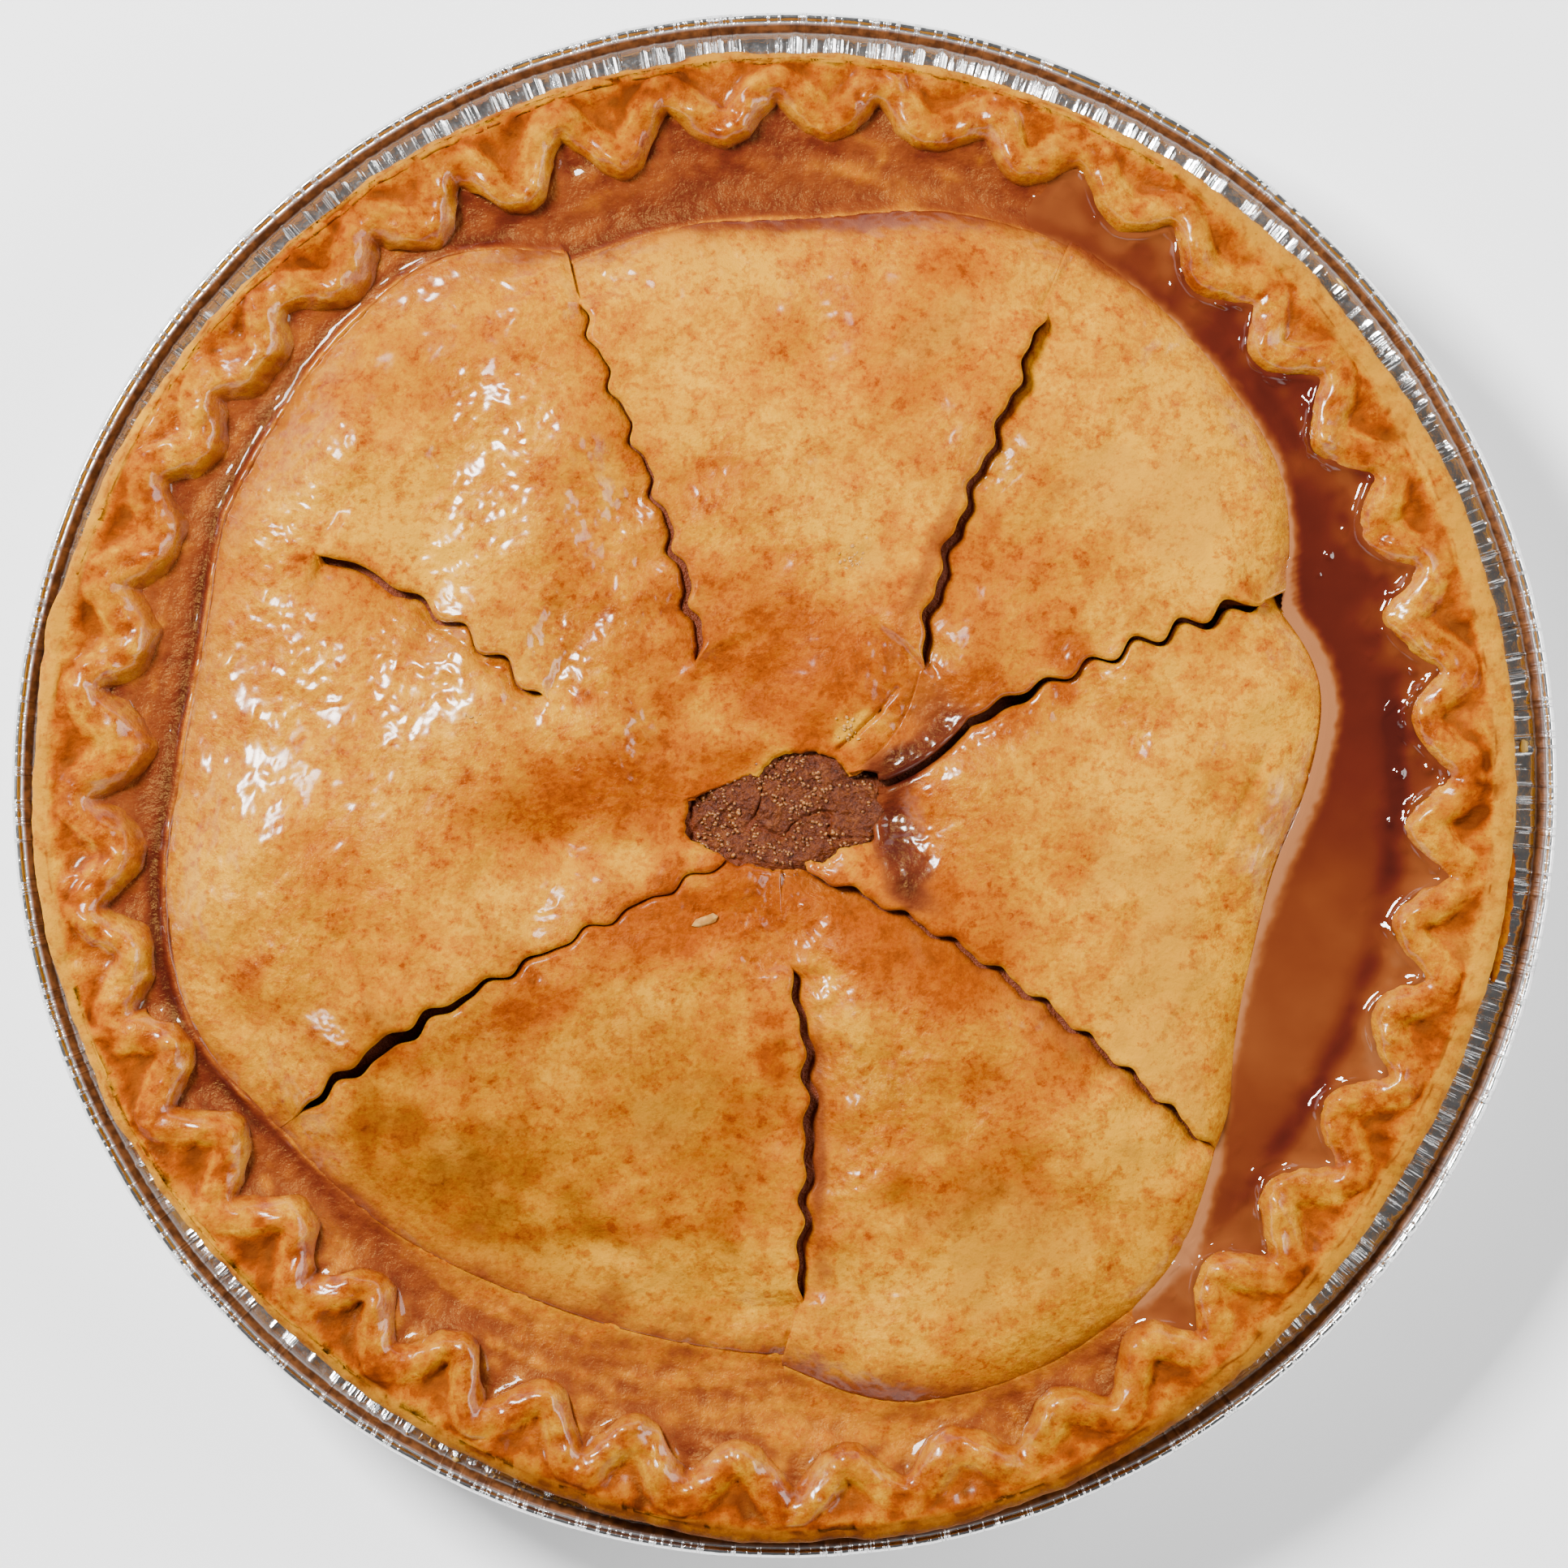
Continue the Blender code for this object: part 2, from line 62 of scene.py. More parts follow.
def cloud(x, y, size, seed, octaves=3):
    """Soft random field, about -1 to 1: random numbers on a turned square lattice, blended between its
    corners, then the same at half the size and half the strength, and so on."""
    numbers = np.random.default_rng(seed).uniform(-1, 1, (64, 64))
    total = 0
    for octave in range(octaves):
        turn, scale = 0.7 + 1.9 * octave, 2**octave / size
        u = (x * math.cos(turn) - y * math.sin(turn)) * scale + 31.7
        v = (x * math.sin(turn) + y * math.cos(turn)) * scale + 12.3
        i, j = np.floor(u).astype(int), np.floor(v).astype(int)
        a, b = smooth(0, 1, u - i), smooth(0, 1, v - j)
        low = numbers[i % 64, j % 64] * (1 - a) + numbers[(i + 1) % 64, j % 64] * a
        high = numbers[i % 64, (j + 1) % 64] * (1 - a) + numbers[(i + 1) % 64, (j + 1) % 64] * a
        total = total + (low * (1 - b) + high * b) / 2**octave
    return total


def flat(radius, degrees):
    """x and y of the points at a radius and an angle: (r cos a, r sin a)."""
    a = np.radians(degrees)
    return radius * np.cos(a), radius * np.sin(a)


def polar(radius, degrees, height):
    """Points (r cos a, r sin a, z) as one array with a last axis of three."""
    return np.stack(np.broadcast_arrays(*flat(radius, degrees), height), -1)


def make_piece(name, grid, material, replaced=(), ring=False, loop=False, poles=(), layers=None):
    """Mesh from a grid of points whose rows run outwards and columns anticlockwise, so that its faces look
    up. ring joins the last column to the first and loop the last row to the first. What is still open is
    closed by fans: a ring's first and last rows to the two poles, the ends of a loop to their own middles,
    and a plain patch to one point under it. layers are numbers stored at each point."""
    rows, columns = grid.shape[:2]
    points = grid.reshape(-1, 3)
    index = np.arange(rows * columns).reshape(rows, columns)
    near = np.concatenate([index, index[:, :1]], 1) if ring else index
    near = np.concatenate([near, near[:1]], 0) if loop else near
    quads = np.stack([near[:-1, :-1], near[1:, :-1], near[1:, 1:], near[:-1, 1:]], -1).reshape(-1, 4)
    if ring:
        edges = [] if loop else [near[0], near[-1][::-1]]
    elif loop:
        edges = [near[::-1, 0], near[:, -1]]
        poles = [grid[:, 0].mean(0), grid[:, -1].mean(0)]
    else:
        edges = [np.concatenate([near[0], near[1:, -1], near[-1, -2::-1], near[-2::-1, 0]])]
    fans = [
        np.stack([edge[:-1], edge[1:], np.full(len(edge) - 1, len(points) + k)], -1)
        for k, edge in enumerate(edges)
    ]
    points = np.concatenate([points, np.reshape(poles, (-1, 3))[: len(fans)]])
    triangles = np.concatenate(fans) if fans else np.empty((0, 3), int)
    mesh = bpy.data.meshes.new(name)
    mesh.vertices.add(len(points))
    mesh.vertices.foreach_set("co", (points * MM).ravel())
    corners = np.concatenate([quads.ravel(), triangles.ravel()])
    sides = np.concatenate([np.full(len(quads), 4), np.full(len(triangles), 3)])
    mesh.loops.add(len(corners))
    mesh.loops.foreach_set("vertex_index", corners)
    mesh.polygons.add(len(sides))
    mesh.polygons.foreach_set("loop_start", np.concatenate([[0], np.cumsum(sides)[:-1]]))
    mesh.update(calc_edges=True)
    rounded = np.repeat([True, False], [len(quads), len(triangles)]) | ring
    mesh.polygons.foreach_set("use_smooth", rounded)
    at_poles = np.zeros(len(points) - rows * columns)
    for layer, values in (layers or {}).items():
        values = np.concatenate([np.broadcast_to(values, (rows, columns)).ravel(), at_poles])
        mesh.attributes.new(layer, "FLOAT", "POINT").data.foreach_set("value", values)
    mesh.materials.append(material)
    piece = bpy.data.objects.new(name, mesh)
    bpy.context.scene.collection.objects.link(piece)
    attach(piece, "root")
    if replaced:
        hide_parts(*replaced)
    return piece


class Wire:
    """An output of a shader node. Arithmetic on wires adds Math nodes."""

    def __init__(self, paint, socket):
        self.paint, self.socket = paint, socket

    def math(self, operation, *values):
        return self.paint.node("ShaderNodeMath", {"operation": operation}, dict(enumerate((self, *values))))

    def __add__(self, other):
        return self.math("ADD", other)

    def __sub__(self, other):
        return self.math("SUBTRACT", other)

    def __rsub__(self, other):
        return self.math("MULTIPLY_ADD", -1.0, other)

    def __mul__(self, other):
        return self.math("MULTIPLY", other)

    __radd__, __rmul__ = __add__, __mul__

    def between(self, low, high):
        """0 below low, 1 above high, smooth between."""
        return self.paint.node(
            "ShaderNodeMapRange", {"interpolation_type": "SMOOTHSTEP"}, {0: self, 1: low, 2: high}
        )


class Paint:
    """One material: a Principled shader and the nodes that feed it."""

    def __init__(self, name, **sockets):
        self.material = bpy.data.materials.new(name)
        self.material.use_nodes = True
        self.tree = self.material.node_tree
        self.shader = self.tree.nodes["Principled BSDF"]
        self.set(**sockets)

    def node(self, kind, settings, sockets=None, output=0):
        """Adds a node with its settings and its sockets' values or wires. Returns one output as a wire."""
        made = self.tree.nodes.new(kind)
        for key, value in settings.items():
            if key == "stops":
                ramp = made.color_ramp
                while len(ramp.elements) < len(value):
                    ramp.elements.new(0.5)
                for element, (place, colour) in zip(ramp.elements, value):
                    element.position, element.color = place, (*colour, 1)
            else:
                setattr(made, key, value)
        for key, value in (sockets or {}).items():
            self.feed(made.inputs[key], value)
        return Wire(self, made.outputs[output])

    def feed(self, socket, value):
        if isinstance(value, Wire):
            self.tree.links.new(value.socket, socket)
        else:
            socket.default_value = value

    def set(self, **sockets):
        for key, value in sockets.items():
            self.feed(self.shader.inputs[key.replace("_", " ")], value)

    def layer(self, name):
        return self.node("ShaderNodeAttribute", {"attribute_name": name}, output="Fac")

    def noise(self, size, detail=3.0, roughness=0.55, stretch=(1, 1, 1), seed=0.0):
        """Noise whose lumps are about size millimetres across, on the piece's own coordinates."""
        place = self.node("ShaderNodeTexCoord", {}, output="Object")
        sockets = {"Vector": place, "Scale": stretch, "Location": (seed, 0, 0)}
        place = self.node("ShaderNodeMapping", {}, sockets)
        sockets = {"Vector": place, "Scale": 1 / (size * MM), "Detail": detail, "Roughness": roughness}
        return self.node("ShaderNodeTexNoise", {}, sockets)

    def ramp(self, factor, stops):
        return self.node("ShaderNodeValToRGB", {"stops": stops}, {"Fac": factor})

    def blend(self, factor, first, second, mode="MIX"):
        first, second = (v if isinstance(v, Wire) else (*v, 1) for v in (first, second))
        return self.node(
            "ShaderNodeMix",
            {"data_type": "RGBA", "blend_type": mode},
            {"Factor": factor, 6: first, 7: second},
            output=2,
        )

    def bump(self, height, distance, strength=1.0, normal=None):
        """Bump of height times distance millimetres."""
        sockets = {"Height": height, "Distance": distance * MM, "Strength": strength}
        if normal:
            sockets["Normal"] = normal
        return self.node("ShaderNodeBump", {}, sockets)


TIN_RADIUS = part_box("foil_tin")[1].x / MM
BEAD_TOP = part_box("foil_tin")[1].z / MM
FOIL = 0.35
BASE_RADIUS = TIN_RADIUS * 0.736
WALL_TOP_RADIUS = TIN_RADIUS - 8.4
FLANGE_HEIGHT = BEAD_TOP - 1.9
PLEATS = 210
TIN_COLUMNS = 2200

foil = Paint("bright_foil", Metallic=1.0, Roughness=0.2)
baked_on = foil.layer("baked_on")
scuffs = foil.noise(0.7, detail=4.0)
# Streaks run outwards: fine steps round the tin, long ones along its radius
unrolled = foil.node("ShaderNodeCombineXYZ", {}, {0: foil.layer("around"), 1: foil.layer("out") * 0.06})
streak_sockets = {"Vector": unrolled, "Scale": 0.9, "Detail": 2.0, "Roughness": 0.6}
streaks = foil.node("ShaderNodeTexNoise", {}, streak_sockets)
grime = foil.noise(3.0, seed=4.0).between(0.35, 0.75)
foil_colour = foil.blend(grime * 0.3, (0.80, 0.80, 0.80), (0.36, 0.34, 0.32))
# Painted reflection of the crust in the bead, with baked-on juice: two browns in spots
reflection_and_juice_spots = foil.noise(1.6, seed=7.0).between(0.3, 0.7)
reflection_and_juice_brown = foil.blend(reflection_and_juice_spots, (0.05, 0.014, 0.003), (0.15, 0.052, 0.014))
foil.set(
    Base_Color=foil.blend(baked_on, foil_colour, reflection_and_juice_brown),
    Metallic=1 - baked_on * 0.85,
    Roughness=0.10 + scuffs * 0.18 + baked_on * 0.25,
    Normal=foil.bump(
        scuffs, 0.06, normal=foil.bump(streaks.between(0.52, 0.72) * (1 - baked_on * 0.8), 0.45)
    ),
)

tin_degrees = np.arange(TIN_COLUMNS) * 360 / TIN_COLUMNS
pleat_random = np.random.default_rng(5)
steps = pleat_random.uniform(0.25, 1.0, PLEATS) ** 1.5
pleat_at = np.cumsum(steps) / steps.sum() * 360
pleat_height = pleat_random.uniform(0.35, 1.2, PLEATS)
pleat_width = pleat_random.uniform(0.2, 0.45, PLEATS)
pleat = 0
for side in (-1, 0):
    near = np.mod(np.searchsorted(pleat_at, tin_degrees) + side, PLEATS)
    away = np.abs(np.mod(tin_degrees - pleat_at[near] + 180, 360) - 180)
    pleat = np.maximum(pleat, pleat_height[near] * np.clip(1 - away / pleat_width[near], 0, 1))
pleat = (pleat - 0.3) * 1.3 + 0.12 * cloud(tin_degrees * 1.1, 0, 1.3, 12, 2)

# Profile of the shell, from the middle out over the bead and back below: radius, height, share of the pleats,
# share of the painted crust reflection and baked juice
SHELL_PROFILE = [
    (3, FOIL, 0, 0), (40, FOIL, 0, 0), (BASE_RADIUS - 4, FOIL, 0, 0),
    (BASE_RADIUS - 1.5, FOIL + 0.4, 0.2, 0), (BASE_RADIUS + 0.2, FOIL + 1.8, 0.5, 0),
    (BASE_RADIUS + 4, FOIL + 6.2, 0.7, 0), (WALL_TOP_RADIUS - 2, FLANGE_HEIGHT - 3, 0.9, 0),
    (WALL_TOP_RADIUS - 0.6, FLANGE_HEIGHT - 0.9, 1, 0), (WALL_TOP_RADIUS + 0.5, FLANGE_HEIGHT - 0.3, 1, 0),
    (WALL_TOP_RADIUS + 1.6, FLANGE_HEIGHT - 0.1, 1, 0), (WALL_TOP_RADIUS + 3, FLANGE_HEIGHT - 0.1, 1, 0),
    (WALL_TOP_RADIUS + 4.2, FLANGE_HEIGHT, 0.9, 0), (TIN_RADIUS - 3.5, FLANGE_HEIGHT + 0.15, 0.6, 0.2),
    (TIN_RADIUS - 3.2, FLANGE_HEIGHT + 0.5, 0.25, 1), (TIN_RADIUS - 2.7, FLANGE_HEIGHT + 1, 0.08, 1),
    (TIN_RADIUS - 2.2, FLANGE_HEIGHT + 1.35, 0.05, 1), (TIN_RADIUS - 1.8, FLANGE_HEIGHT + 1.55, 0.05, 0.9),
    (TIN_RADIUS - 1.6, FLANGE_HEIGHT + 1.35, 0.08, 0.1), (TIN_RADIUS - 1.35, FLANGE_HEIGHT + 1.45, 0.05, 0),
    (TIN_RADIUS - 1.05, FLANGE_HEIGHT + 1.8, 0, 0), (TIN_RADIUS - 0.7, FLANGE_HEIGHT + 1.85, 0, 0),
    (TIN_RADIUS - 0.35, FLANGE_HEIGHT + 1.6, 0, 0), (TIN_RADIUS - 0.08, FLANGE_HEIGHT + 1.1, 0, 0),
    (TIN_RADIUS, FLANGE_HEIGHT + 0.5, 0, 0), (TIN_RADIUS - 0.15, FLANGE_HEIGHT - 0.2, 0, 0),
    (TIN_RADIUS - 0.6, FLANGE_HEIGHT - 0.75, 0, 0), (TIN_RADIUS - 1.2, FLANGE_HEIGHT - 0.6, 0, 0),
    (TIN_RADIUS - 1.3, FLANGE_HEIGHT + 0.4, 0, 0), (TIN_RADIUS - 2, FLANGE_HEIGHT + 0.8, 0, 0),
    (TIN_RADIUS - 3.1, FLANGE_HEIGHT - 0.2, 0.4, 0),
    (WALL_TOP_RADIUS + 3, FLANGE_HEIGHT - 0.1 - FOIL, 1, 0),
    (WALL_TOP_RADIUS + 0.9, FLANGE_HEIGHT - 0.4 - FOIL, 1, 0), (WALL_TOP_RADIUS, FLANGE_HEIGHT - 1.6, 1, 0),
    (WALL_TOP_RADIUS - 1.2, FLANGE_HEIGHT - 3.4, 0.9, 0), (BASE_RADIUS + 14, 15.5, 0.8, 0),
    (BASE_RADIUS + 4.4, 5.6, 0.7, 0), (BASE_RADIUS + 0.7, 1.4, 0.5, 0), (BASE_RADIUS - 1.2, 0.15, 0.2, 0),
    (BASE_RADIUS - 4, 0, 0, 0), (40, 0, 0, 0), (3, 0, 0, 0),
]
PLEAT_DEPTH = 0.9
shell_radius, shell_height, pleated, shell_reflection_and_juice = np.array(SHELL_PROFILE).T[:, :, None]
sideways = np.where(shell_height < FLANGE_HEIGHT - 1.8, 1.0, 0.35)
tin_radius = shell_radius + PLEAT_DEPTH * pleat * pleated * sideways
tin_height = shell_height + PLEAT_DEPTH * pleat * pleated * (1 - sideways) - np.where(pleated > 0.3, 0.25, 0)
dents = cloud(tin_degrees * 0.6, 4, 3, 21) * np.where(shell_radius > TIN_RADIUS - 3.6, 0.10, 0)
tin_grid = polar(tin_radius - np.abs(dents), tin_degrees[None], np.clip(tin_height, 0, BEAD_TOP))
make_piece(
    "pleated_foil", tin_grid, foil.material, ["foil_tin"], ring=True, poles=[(0, 0, FOIL), (0, 0, 0)],
    layers={"baked_on": shell_reflection_and_juice, "around": np.radians(tin_degrees)[None] * TIN_RADIUS, "out": tin_radius},
)


# Lid of shortcrust pastry
# One rolled sheet of dough, laid over the apples and slashed with a wavy blade. In the oven it domed, browned
# and split along the slashes, so seven flaps now meet round a torn hole, each with a rounded, scalloped lip.
MOAT_FLOOR = 36.9
DOME_STEP, DOME_CROWN = 6.2, 2.4
# The lid stays under this height, and its highest bulges are pressed together over the length of SOFT_TOP
LID_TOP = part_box("top_crust")[1].z / MM - 0.35
SOFT_TOP = 2.6
# Length over which the dome climbs from its foot, by angle
SHOULDER = [
    (0, 4), (60, 5), (80, 8), (105, 9), (130, 5.5), (165, 8), (205, 8.5), (230, 11), (265, 10), (300, 5),
    (340, 3.8),
]
LID_WALL = 3.2
# Height to which the moat's dough climbs at the lid's foot, by angle
FILLET = [(0, 0.6), (55, 0.6), (70, 1), (118, 1), (132, 0.6), (215, 0.6), (230, 1.1), (285, 1), (300, 0.6)]
# First and last angle of each flap, then evenly spaced radii of its foot
FLAPS = {
    "right": (319.5, 381.5, (92, 84.2, 81, 80.9, 85.5, 88.8, 84.5)),
    "upper_right": (21.5, 62, (88, 95.2, 97.3, 98.7, 99.3)),
    "top": (62, 112.5, (98.5, 95.9, 91.6, 91.6, 91)),
    "upper_left": (112.5, 154, (93, 101.5, 102.2, 101, 100.3)),
    "left": (154, 214, (100.3, 96.8, 97.6, 101.6, 103.3, 98.8)),
    "lower_left": (214, 270, (98.5, 95.9, 92.5, 91.4, 91.8)),
    "lower_right": (270, 319.5, (93.5, 100.8, 102.6, 102, 99.6, 92)),
}
# Each slit is named for the flap that begins at it. Its outer and inner end, where its crease reaches the
# hole, bow and skew, two waves (height, length, phase in degrees), half widths evenly spaced from its outer
# end to its inner one, and how far the flaps before and after it rise at their lips
Slit = namedtuple("Slit", "outer inner at_hole bow skew waves half_widths rises")
SLITS = {
    "right": Slit(
        (69.8, -59.5), (3.5, -13), (3.4, -12.8), -3.8, -0.6, ((0.6, 9, -136), (0.25, 4.5, 100)),
        (0.1, 0.2, 0.3, 0.5, 0.35, 0.1, 0.05), (-1, 1),
    ),
    "upper_right": Slit(
        (77, 30), (29, 9.6), (15.5, 0.3), -1.2, -0.3, ((0.6, 8.7, 50), (0.8, 7.7, -40)),
        (0.6, 1, 0.5, 0.4, 0.3, 0, 0.5, 1.2, 0.8), (0.3, 1.3),
    ),
    "top": Slit(
        (41.5, 76.6), (21.1, 17.4), (10.2, 1.8), -1.3, -2, ((0.6, 11.5, 30), (0.35, 5.5, 0)),
        (0.05, 0.1, 0.4, 0.65, 0.75, 0.55), (-0.9, 1.5),
    ),
    "upper_left": Slit(
        (-33.6, 79), (-12.7, 18), (-4, 1.7), 1.7, 1.2, ((0.75, 9.2, -40), (0.3, 4.7, 80)),
        (0.05, 0.05, 0.15, 0.4, 0.8, 0.6), (1, -0.6),
    ),
    "left": Slit(
        (-75.5, 37.4), (-37.6, 12.8), (-15, -2), 2.6, -0.2, ((0.8, 9.2, 120), (0.5, 7.7, -130)),
        (0.7, 0.6, 0.35, 0.05, 0, 0), (1, -1.1),
    ),
    "lower_left": Slit(
        (-79.5, -54), (-9, -11.4), (-8.5, -11.2), 2.4, -1.4, ((0.6, 9.5, 74), (0.3, 6, -154)),
        (0.4, 0.9, 1.4, 0.8, 0.25, 0.1, 0.05, 0.05, 0), (1.2, 0.3),
    ),
    "lower_right": Slit(
        (2.4, -84.2), (0.3, -27.6), (-1, -12.6), -2.6, -2, ((0.4, 10, 137), (0.45, 6.7, -152)),
        (0.4, 0.7, 0.9, 0.8, 0.55), (1, -0.8),
    ),
}
WAVE_STRENGTH, WIDTH_STRENGTH = 0.9, 0.8
SLIT_STEPS = 160
# Slits whose crease stays open up to the hole, with its half width there
OPEN_TO_HOLE = {"upper_right": 0.6, "right": 0.05, "lower_left": 0.0}
HOLE = [
    (-15, -2), (-9, 0), (-4, 1.6), (0.5, 4.5), (7, 4.8), (10, 1.9), (14.7, 0.7), (14.2, -5), (14.6, -8.6),
    (8.5, -10.2), (5, -13.2), (2.8, -12.4), (-6, -12.6), (-10, -11.4), (-15.6, -9),
]
BULGE_STRENGTH = 1.25
# Bulges and hollows: x, y, radius, rise
BULGES = [
    (-70, -6, 17, 2.2), (-48, 8, 10, 2.6), (-49, 24, 7, 2), (-34, 54, 8, 2.6), (-40, 40, 8, 2.4),
    (-60, 60, 16, 0.8), (-71, 54, 9, 1.4), (3, 58, 16, 1.6), (-2, 40, 8, 1.2), (53, 48, 18, 2),
    (38, -3, 9.5, 3.4), (64, 2, 14, 1.2), (30, -62, 20, 2), (-30, -56, 20, 2), (0, -5, 13, -2.2),
    (18, -5, 5, -2.4), (24, 10, 6, -1.6), (8, 17, 8, 1.4), (-26, -24, 10, 1.4), (24, -32, 12, 1.6),
    (-66, -40, 9, 1.4), (-30, 8, 7, 1.4), (-78, -30, 8, 1), (76, 44, 9, 1.2), (58, -36, 12, 1),
    (-64, 42, 10, -0.9), (-35, -74, 26, -0.8), (12, -40, 4, 1), (75, 14, 4, 1),
]


def around(table, degrees, soft=5):
    """Values of a table by angle, averaged over a few degrees each way so that they turn softly."""
    angles, values = np.array(table, float).T
    turns = [np.mod(degrees + aside, 360) for aside in np.linspace(-soft, soft, 5)]
    return sum(np.interp(turn, angles, values, period=360) for turn in turns) / len(turns)


def spline(values, t):
    """Catmull-Rom curve through evenly spaced values, for t from 0 to 1."""
    v = np.array([2 * values[0] - values[1], *values, 2 * values[-1] - values[-2]])
    s = np.clip(t, 0, 1) * (len(values) - 1)
    i = np.minimum(s.astype(int), len(values) - 2)
    s = s - i
    a, b, c, d = v[i], v[i + 1], v[i + 2], v[i + 3]
    return b + 0.5 * s * (c - a + s * (2 * a - 5 * b + 4 * c - d + s * (3 * (b - c) + d - a)))


def dome_foot(degrees):
    """Radius of the dome's foot: each flap's own spline."""
    turn = np.mod(degrees - 21.5, 360) + 21.5
    radius = np.zeros(np.shape(turn))
    for first, last, values in FLAPS.values():
        inside = (turn >= first) & (turn < last)
        radius = np.where(inside, spline(values, (turn - first) / (last - first)), radius)
    return radius


def slit_path(name):
    """Middle line of a slit from the hole out to the foot: its chord, bowed and waved sideways, with a
    straight crease at both ends. Gives radius, angle, half width, and how open it is."""
    slit = SLITS[name]
    outer, inner = np.array(slit.outer), np.array(slit.inner)
    length = math.dist(outer, inner)
    along = (inner - outer) / length
    t = np.linspace(0, 1, SLIT_STEPS)
    aside = 4 * t * (1 - t) * (slit.bow + slit.skew * (2 * t - 1))
    for height, wave_length, phase in slit.waves:
        turn = 2 * math.pi * t * length / wave_length + math.radians(phase)
        aside = aside + WAVE_STRENGTH * height * np.sin(turn)
    line = outer + np.outer(t * length, along) + np.outer(aside, (-along[1], along[0]))
    line = np.concatenate([[slit.at_hole], line[::-1]])
    radius = np.maximum.accumulate(np.hypot(line[:, 0], line[:, 1]) + np.arange(len(line)) * 1e-6)
    angle = np.degrees(np.unwrap(np.arctan2(line[:, 1], line[:, 0])))
    foot_angle = FLAPS[name][0]
    angle += 360 * round((foot_angle - angle[-1]) / 360)
    reaches_hole = name in OPEN_TO_HOLE
    opened = smooth(0, 0.06, t) * (1 if reaches_hole else smooth(0, 0.05, 1 - t))
    widths = WIDTH_STRENGTH * np.interp(t, np.linspace(0, 1, len(slit.half_widths)), slit.half_widths)
    half = np.concatenate([[OPEN_TO_HOLE.get(name, 0)], (widths * opened)[::-1]])
    opened = np.concatenate([[0.8 if reaches_hole else 0.0], opened[::-1]])
    end = max(radius[-1] + 3, float(dome_foot(np.array([foot_angle + 0.1]))[0]) - 1)
    return np.append(radius, end), np.append(angle, foot_angle), np.append(half, 0), np.append(opened, 0)


def bearing(x, y):
    """Angle of a point in degrees, anticlockwise from the right."""
    return np.degrees(np.arctan2(y, x))


def hole_radius(degrees):
    """Distance of the hole's torn edge from the middle: its outline, with small tears."""
    corners = np.array(HOLE)
    angle = bearing(*corners.T)
    order = np.argsort(angle)
    fine = np.linspace(-180, 180, 1441)
    edge = np.interp(fine, angle[order], np.hypot(*corners.T)[order], period=360)
    edge = np.convolve(np.concatenate([edge[-11:-1], edge, edge[1:11]]), np.ones(21) / 21, "valid")
    edge = edge + 0.45 * cloud(*flat(edge, fine), 2.2, 41)
    return np.interp(np.mod(degrees + 180, 360) - 180, fine, edge)


# Folds, cracks and ridges: both ends, half width, depth
FOLDS = [
    (-60, 29.5, -47, 19, 1, 0.7), (-47, 19, -35, 15, 1.2, 0.6), (-71, -25, -62, -37, 1.6, 0.8),
    (-65, -58, -60, -62, 0.5, 0.4), (41.5, 77, 46, 84, 0.9, 0.5), (-33.6, 79, -35, 84, 0.9, 0.5),
    (-40, 66, -24, 60, 3, 0.5), (5, 84, 8, 52, 4, 0.5), (60, 62, 38, 40, 4, 0.5),
    (-30, -40, -20, -70, 4, 0.5), (50, -70, 30, -50, 4, 0.5), (78, 6, 70, -12, 1, 0.5),
    (-50, -6, -24, -12, 3, 0.8), (-56, 30, -40, 34, 2.5, 0.6), (-44, 60, -32, 36, 2.2, -0.5),
    (32, 44, 40, 52, 1.2, 0.3), (8.7, 5.8, 15.3, 11.9, 0.45, 0.9), (15.3, 11.9, 18, 15.4, 0.4, 0.5),
    (-55, -57, -20, -79, 1.6, 0.4), (-50, -52, -22, -73, 2.2, -0.4),
]


def to_line(x, y, ax, ay, bx, by):
    """Distance to the line from a to b."""
    dx, dy = bx - ax, by - ay
    t = np.clip(((x - ax) * dx + (y - ay) * dy) / (dx * dx + dy * dy), 0, 1)
    return np.hypot(x - ax - t * dx, y - ay - t * dy)


def fade(distance, reach):
    """1 where the distance is nothing or less, then e to the power of -distance / reach."""
    return np.exp(-np.maximum(distance, 0) / reach)


def bell(distance, width):
    """e to the power of -(distance / width)^2."""
    return np.exp(-((distance / width) ** 2))


def dome_height(x, y, inward, share):
    """Height of the lid: a step up from the moat, a low crown, bulges and hollows, and the dough's
    unevenness. inward is the distance from the foot, share the part of the way out to it."""
    degrees = bearing(x, y)
    climb, fillet = around(SHOULDER, degrees, 8), around(FILLET, degrees, 8)
    z = MOAT_FLOOR + fillet + (DOME_STEP - fillet) * (1 - fade(inward, climb))
    z = z + DOME_CROWN * np.clip(1 - share**2, 0, 1)
    within = smooth(0, 8, inward)
    for bx, by, size, rise in BULGES:
        z = z + BULGE_STRENGTH * rise * bell(np.hypot(x - bx, y - by), size) * within
    z = z + within * (1.1 * cloud(x, y, 21, 51, 2) + 0.60 * cloud(x, y, 7.5, 52, 2))
    for ax, ay, bx, by, width, depth in FOLDS:
        z = z - depth * bell(to_line(x, y, ax, ay, bx, by), width)
    return z + 0.11 * cloud(x, y, 2.4, 53, 3) * smooth(0, 3, inward)


def pressed(z):
    """Heights near the lid's top pressed together: top - soft + soft * tanh(excess / soft)."""
    over = z - LID_TOP + SOFT_TOP
    return np.where(over > 0, LID_TOP - SOFT_TOP + SOFT_TOP * np.tanh(over / SOFT_TOP), z)


BROWNING_AND_SHEEN_STRENGTH = 1.45
